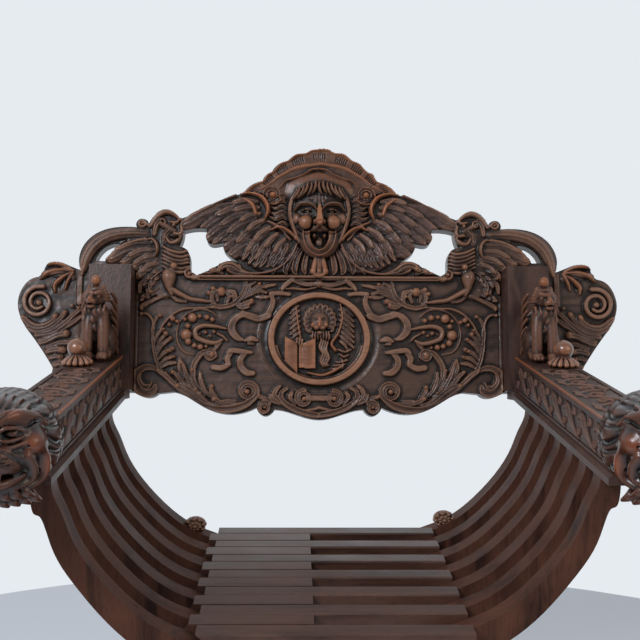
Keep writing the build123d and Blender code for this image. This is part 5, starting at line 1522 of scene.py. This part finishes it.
def seated_lion_clay():
    clay = Clay((-30, -40, -4), (30, 42, 106), 0.95)
    clay.limb([(0, -20, 16, 17), (0, -12, 40, 15), (0, -2, 62, 13)], 3)
    clay.ball((0, -6, 30), (20, 24, 28), 4)
    clay.ball((0, -30, 30), (24, 8, 34), 3)
    clay.ball((0, 6, 52), (17, 14, 18), 5)
    for s in (1, -1):
        clay.ball((s * 14, -8, 19), (13, 20, 20), 2)
        clay.groove([(s * 20, 6, 34, 1.0), (s * 20, 13, 18, 1.4), (s * 18, 10, 6, 1.0)], 0.8)
        clay.limb([(s * 15, 2, 10, 7), (s * 16, 16, 4, 5)], 2)
        clay.limb([(s * 8, 8, 54, 9.5), (s * 10.5, 17, 34, 8.4), (s * 11, 24, 10, 7.2)], 1.6)
        clay.groove([(0, 26, 48, 1.0), (0, 26, 26, 1.8), (0, 30, 6, 2.0)], 0.8)
        clay.ball((s * 10.5, 28, 5), (8, 10, 6), 1.5)
        for k in (-1, 0, 1):
            clay.limb([(s * 10.5 + k * 4.4, 30, 6, 2.8), (s * 10.5 + k * 5, 36.5, 3, 2.8)], 0.8)
        clay.ball((s * 9.5, 3, 87), (4, 3.4, 4.6), 1)
        clay.limb([(s * 2, 20, 82, 2.6), (s * 7, 18, 83, 3.0), (s * 11, 13, 80, 2.2)], 1.2)
        clay.hollow((s * 5.6, 22, 78), (3, 3, 2.2), 0.6)
        clay.ball((s * 5.6, 18.6, 78), (2.4, 2.4, 1.8), 0.4)
    clay.ball((0, 6, 76), (14, 14, 13), 2)
    clay.ball((5, 18, 72), (7.5, 9, 6), 2)
    clay.limb([(3, 17, 81, 3), (6.5, 24.5, 75.5, 3.2)], 1.4)
    clay.hollow((7, 25, 68.5), (5.5, 8, 1.8), 0.6)
    clay.ball((5.5, 18, 65.5), (6, 7, 3), 1)
    clay.ball((0, 4, 97), (6.8, 6.8, 7.0), 1.0)
    # Head and muzzle tinted warmer: partly worn, partly a painted highlight.
    clay.glow((0, 6, 98), 10, 0.3)
    clay.glow((6, 26, 76), 6, 0.15)
    clay.limb([(0, 4, 88, 5), (0, 4, 93, 3.4)], 1.0)
    for k in range(13):
        a = math.radians(-10 + 200 * k / 12)
        c, s = math.cos(a), math.sin(a)
        clay.lock([(11 * c, 12, 76 + 11 * s, 2.8), (15.5 * c, 5, 75 + 14 * s, 3.0),
                   (16.5 * c, -6, 73 + 13 * s, 1.8)], 1.6, 0.6)
    for row in range(4):
        for k in range(-2, 3):
            x0 = k * 6.4 + (row % 2) * 2.6
            z0 = 66 - 10 * row
            clay.lock([(x0, 15 - abs(k) * 2.4, z0, 2.6), (x0 + 1.6, 19 - abs(k) * 2.4, z0 - 7, 2.9),
                       (x0 - 1.4, 18 - abs(k) * 2.4, z0 - 14, 1.4)], 1.5, 0.6)
    for s in (1, -1):
        for k in range(7):
            z0 = 80 - 10.5 * k
            clay.lock([(s * 19, -16, z0, 2.8), (s * 23, -22, z0 - 7, 3.0),
                       (s * 24, -27, z0 - 15, 1.6)], 1.6, 0.6)
    return clay


# ---- Great paws: a smooth dome, a waist, and fanned toes ----

def paw_clay():
    paw = Clay((-26, -24, -2), (26, 26, 44), 0.8)
    paw.ball((0, -2, 27), (14.5, 14.5, 15), 1)
    paw.limb([(0, -2, 17, 10.5), (0, -1, 11, 11.5)], 2)
    for k in range(9):
        a = math.radians(-20 + 220 * k / 8)
        c, s = math.cos(a), math.sin(a)
        paw.limb([(6 * c, 5 * s, 15, 3.2), (13 * c, 12 * s, 9, 4.2), (19 * c, 18 * s, 4.2, 4.0)], 0.7)
    paw.ball((0, -6, 4), (18, 14, 5), 2)
    for k in range(10):
        a = math.radians(-31 + 242 * k / 9)
        c, s = math.cos(a), math.sin(a)
        paw.groove([(9 * c, 8 * s, 15, 0.8), (17 * c, 16 * s, 8, 1.2), (22 * c, 21 * s, 3, 1.2)], 0.5)
    return paw


# ---- Rosettes: knobbly ones on the seat rods, petalled ones on the pivot ----

def small_rosette_clay():
    block = Clay((-17, -10, -17), (17, 12, 17), 0.6)
    block.ball((0, -2, 0), (12, 6, 12), 1)
    for k in range(8):
        a = math.radians(45 * k + 10)
        block.ball((9.6 * math.cos(a), 1.5, 9.6 * math.sin(a)), (3.6, 4.2, 3.6), 0.5)
        b = a + math.radians(22)
        block.ball((5.2 * math.cos(b), 4.6, 5.2 * math.sin(b)), (2.6, 3.2, 2.6), 0.4)
    block.ball((0, 5.5, 0), (3.2, 3.6, 3.2), 0.4)
    return block


def pivot_rosette_clay():
    block = Clay((-33, -8, -33), (33, 12, 33), 0.9)
    block.ball((0, -4, 0), (28, 7, 28), 1)
    for k in range(12):
        a = math.radians(30 * k)
        c, s = math.cos(a), math.sin(a)
        block.limb([(9 * c, 2, 9 * s, 3.0), (18 * c, 3.4, 18 * s, 4.4), (26 * c, 0, 26 * s, 3.4)], 0.7)
        block.groove([(11 * c, 6, 11 * s, 0.9), (24 * c, 6, 24 * s, 1.2)], 0.5)
    block.ball((0, 4, 0), (8.5, 6.0, 8.5), 0.8)
    for k in range(8):
        a = math.radians(45 * k)
        c, s = math.cos(a), math.sin(a)
        block.ball((5.6 * c, 8, 5.6 * s), (2.0, 2.2, 2.0), 0.4)
    return block


# ---- Every round carving takes its plain piece's place ----

def seat_carving(block, name, body, slot, material, mirror=False, to_rear=False, proud=0.0):
    """Fits a block's skin to the box of its CAD piece, made larger all round by what stands proud."""
    low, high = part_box(name)
    box = (np.array(low) - proud, np.array(high) + proud)
    piece = block.skin(name + "_carved", box, material, mirror, to_rear)
    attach(piece, body)
    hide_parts(name)


# The mane stands proud of its plain block, by this much across, along and up (metres).
MANE_PROUD = np.array([0.002, 0.0, 0.003])
for block, name, slot, material, proud in (
        (lion_head_clay(), "lion_head_", "polished_walnut", walnut_polished, MANE_PROUD),
        (seated_lion_clay(), "seated_lion_", "carved_walnut", walnut_beast, 0.0),
        (paw_clay(), "lion_paw_", "carved_walnut", walnut_knob, 0.0)):
    for side in ("right", "left"):
        seat_carving(block, name + side, "frame_" + side, slot, material, mirror=side == "left", proud=proud)
small_rosette, pivot_rosette = small_rosette_clay(), pivot_rosette_clay()
for side in ("left", "right"):
    seat_carving(small_rosette, "seat_rosette_" + side, "frame_" + side, "carved_walnut", walnut_carved)
for place in ("front", "rear"):
    seat_carving(pivot_rosette, "pivot_rosette_" + place, "frame_left", "carved_walnut", walnut_carved,
                 to_rear=place == "rear")


# ---- Arms: running acanthus in the sunk fields of the top and the inner face ----

def arm_field(length, wide):
    return Carving((0, -wide / 2), (length, wide / 2), FINE, 0.35)


def close_field(field):
    field.h += hand_waver(field.shape, 4, 0.2)
    field.h = np.maximum(field.h, 0.15)
    field.names[0] = "vine_ground"
    field.owner[:] = 0
    return field


def arm_scrolls(length, wide, period):
    """A waved stem that throws a small scroll and two long leaves into each bend."""
    field = arm_field(length, wide)
    lay = lambda rows, section=sect_soft: field.raise_path(gouge_path(rows), section, "vine")
    for k in range(-1, int(2 * length / period) + 2):
        u0, s = period * k / 2, (1 if k % 2 else -1)
        lay([(u0 - 4, -s * wide * 0.30, 1.6, 2.2), (u0 + period * 0.22, -s * wide * 0.36, 2.2, 2.6),
             (u0 + period * 0.46, -s * wide * 0.10, 2.4, 2.8),
             (u0 + period * 0.56, s * wide * 0.26, 1.8, 2.4)])
        lay(volute_rows(u0 + period * 0.20, s * wide * 0.06, wide * 0.20, 1.8, -100 * s, s * 1.1, 1.9, 1.0,
                        2.9))
        for j in range(3):
            lay([(u0 + 4 + 6 * j, -s * wide * 0.30, 1.2, 2.0),
                 (u0 + 12 + 7 * j, -s * wide * (0.44 - 0.05 * j), 2.2, 2.8),
                 (u0 + 20 + 7 * j, -s * wide * 0.42, 1.0, 2.2)], sect_vein)
    return close_field(field)


def arm_waves(length, wide, period):
    """Long leaves lying over one another like waves, each ending in a curl."""
    field = arm_field(length, wide)
    lay = lambda rows, section=sect_soft: field.raise_path(gouge_path(rows), section, "vine")
    for k in range(-1, int(length / period) + 2):
        u0 = period * k
        for j in range(5):
            v0, rise = wide * (-0.44 + 0.035 * j), 2.3 + 0.12 * j
            lay([(u0 + 5.5 * j, v0, 1.0, 1.8), (u0 + period * 0.25 + 5.0 * j, wide * (-0.34 + 0.05 * j), 1.9,
                                                rise),
                 (u0 + period * 0.52 + 4.2 * j, wide * (0.02 + 0.03 * j), 2.1, rise + 0.3),
                 (u0 + period * 0.74 + 3.0 * j, wide * (0.36 - 0.02 * j), 1.8, rise + 0.2),
                 (u0 + period * 0.98 + 1.6 * j, wide * (0.42 - 0.07 * j), 0.8, 1.9)], sect_round)
        lay(volute_rows(u0 + period * 0.40, wide * 0.27, wide * 0.17, 1.6, 200, -1.2, 1.7, 0.9, 2.8))
        lay(volute_rows(u0 + period * 1.02, -wide * 0.20, wide * 0.15, 1.6, 20, -1.1, 1.6, 0.9, 2.6))
    return close_field(field)


# Each vine lies in its sunk field with half a millimetre to spare; the top one stops before the paw.
FRONT_RIM, PAW_ROOM, REAR_RIM, GAP = 6.0, 108.0, 16.0, 0.5
TOP_WIDE, SIDE_WIDE, SIDE_MIDDLE = 46.0, 31.0, 21.5
top_vine = arm_scrolls(ARM_LONG - FRONT_RIM - PAW_ROOM - 2 * GAP, TOP_WIDE - 2 * GAP, 74.0)
side_vine = arm_waves(ARM_LONG - FRONT_RIM - REAR_RIM - 2 * GAP, SIDE_WIDE - 2 * GAP, 58.0)
for side, sign in (("right", 1), ("left", -1)):
    def on_arm_top(u, v, n, sign=sign):
        x = sign * (ARM_INNER + ARM_WIDE / 2 - v)
        return np.stack([x, ARM_FRONT + FRONT_RIM + GAP + u, ARM_TOP - ARM_SUNK - 0.1 + n], -1) / 1000.0

    def on_arm_side(u, v, n, sign=sign):
        x = sign * (ARM_INNER + ARM_SUNK + 0.1 - n)
        return np.stack([x, ARM_FRONT + FRONT_RIM + GAP + u, ARM_TOP - SIDE_MIDDLE + v], -1) / 1000.0

    for vine, place, label in ((top_vine, on_arm_top, "arm_top_vine_"),
                               (side_vine, on_arm_side, "arm_side_vine_")):
        piece = carved_pieces(vine, np.ones(vine.shape, bool), None, place, INTO_ARM,
                              {"vine_ground": walnut_arm}, 1.2)["vine_ground"]
        piece.name = label + side
        if (sign > 0) == label.startswith("arm_top"):
            piece.data.flip_normals()
        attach(piece, "frame_" + side)


# ---- Finishes of the plain pieces ----

def dress(name, material):
    """The finish of a plain CAD piece."""
    mesh = nodes[name].data
    mesh.materials.clear()
    mesh.materials.append(material)


for name in nodes:
    if name.startswith("rib_"):
        dress(name, walnut_rib)
    elif name in ("arm_left", "arm_right"):
        dress(name, walnut_arm_edge)
    elif name.startswith(("arm_", "runner_", "pivot_rod", "seat_rod", "post_bracket")):
        dress(name, walnut_plain_y)
    elif name.startswith("post_"):
        dress(name, walnut_plain_z)
    else:
        dress(name, walnut_plain_x)


# ---- Floor, light and camera ----
floor_material = bpy.data.materials.new("pale_floor")
floor_material.use_nodes = True
floor_surface = floor_material.node_tree.nodes["Principled BSDF"]
floor_surface.inputs["Base Color"].default_value = linear("#dfe4ea")
floor_surface.inputs["Roughness"].default_value = 0.7
# A round floor, just under the runners' pads.
bpy.ops.mesh.primitive_circle_add(vertices=96, radius=1.4, fill_type="NGON", location=(0, 0, -0.0005))
floor = bpy.context.object
floor.name = "floor"
floor.data.materials.append(floor_material)

room = bpy.data.worlds.new("room")
bpy.context.scene.world = room
room.use_nodes = True
room.node_tree.nodes.clear()
ray = add_node(room.node_tree, "ShaderNodeLightPath").outputs
seen = add_node(room.node_tree, "ShaderNodeMath", {"operation": "MAXIMUM"},
                {0: ray["Is Camera Ray"], 1: ray["Is Transmission Ray"]}).outputs[0]
seen = add_node(room.node_tree, "ShaderNodeMath", {"operation": "MAXIMUM"},
                {0: seen, 1: ray["Is Glossy Ray"]}).outputs[0]
# The wall behind the chair is pale; the room before it is dimmer, which keeps the polish deep.
facing = add_node(room.node_tree, "ShaderNodeSeparateXYZ",
                  links={0: add_node(room.node_tree, "ShaderNodeTexCoord").outputs["Generated"]}).outputs[1]
level_of = add_node(room.node_tree, "ShaderNodeMapRange", {"From Min": -0.3, "From Max": 0.4, "To Min": 0.32},
                    {"Value": facing}).outputs[0]
level_of = add_node(room.node_tree, "ShaderNodeMath", {"operation": "MAXIMUM"},
                    {0: level_of, 1: ray["Is Camera Ray"]}).outputs[0]
pale_wall = add_node(room.node_tree, "ShaderNodeBackground", {"Color": linear("#e6ebf0")},
                     {"Strength": level_of}).outputs[0]
soft_room = add_node(room.node_tree, "ShaderNodeBackground",
                     {"Color": linear("#e8ecf2"), "Strength": 0.55}).outputs[0]
room_light = add_node(room.node_tree, "ShaderNodeMixShader",
                      links={0: seen, 1: soft_room, 2: pale_wall}).outputs[0]
add_node(room.node_tree, "ShaderNodeOutputWorld", links={"Surface": room_light})


def soft_light(name, place, aim, size, power, colour):
    """A broad lamp that hangs at one place and is aimed at another."""
    data = bpy.data.lights.new(name, "AREA")
    data.shape = "RECTANGLE"
    data.size, data.size_y = size
    data.energy = power
    data.color = linear(colour)[:3]
    lamp = bpy.data.objects.new(name, data)
    lamp.location = place
    lamp.rotation_euler = (Vector(aim) - Vector(place)).to_track_quat("-Z", "Y").to_euler()
    bpy.context.scene.collection.objects.link(lamp)
    return lamp


soft_light("window", (-1.3, -1.6, 2.1), (0, 0.1, 0.7), (1.0, 0.9), 46.0, "#f2f6ff")
soft_light("lamp_fill", (1.6, -1.2, 1.5), (0, 0.1, 0.7), (1.0, 1.0), 9.0, "#fff1e0")

# Camera: its place in metres, its turns in radians and its lens in millimetres.
eye_x, eye_y, eye_z = -0.0323, -1.1653, 0.8361
yaw, pitch_down, roll = 0.0234, 0.10157, 0.0066
level = Vector((math.sin(yaw), math.cos(yaw), 0.0))
across = Vector((math.cos(yaw), -math.sin(yaw), 0.0))
view_line = level * math.cos(pitch_down) - Vector((0, 0, 1)) * math.sin(pitch_down)
view_up = Vector((0, 0, 1)) * math.cos(pitch_down) + level * math.sin(pitch_down)
right_way = across * math.cos(roll) + view_up * math.sin(roll)
up_way = view_up * math.cos(roll) - across * math.sin(roll)
camera_data = bpy.data.cameras.new("camera")
camera_data.lens = 64.77
camera_data.sensor_width = 36.0
camera = bpy.data.objects.new("camera", camera_data)
camera.matrix_world = Matrix((
    (right_way.x, up_way.x, -view_line.x, eye_x),
    (right_way.y, up_way.y, -view_line.y, eye_y),
    (right_way.z, up_way.z, -view_line.z, eye_z),
    (0, 0, 0, 1)))
bpy.context.scene.collection.objects.link(camera)
bpy.context.scene.camera = camera
bpy.context.scene.view_settings.view_transform = "Standard"
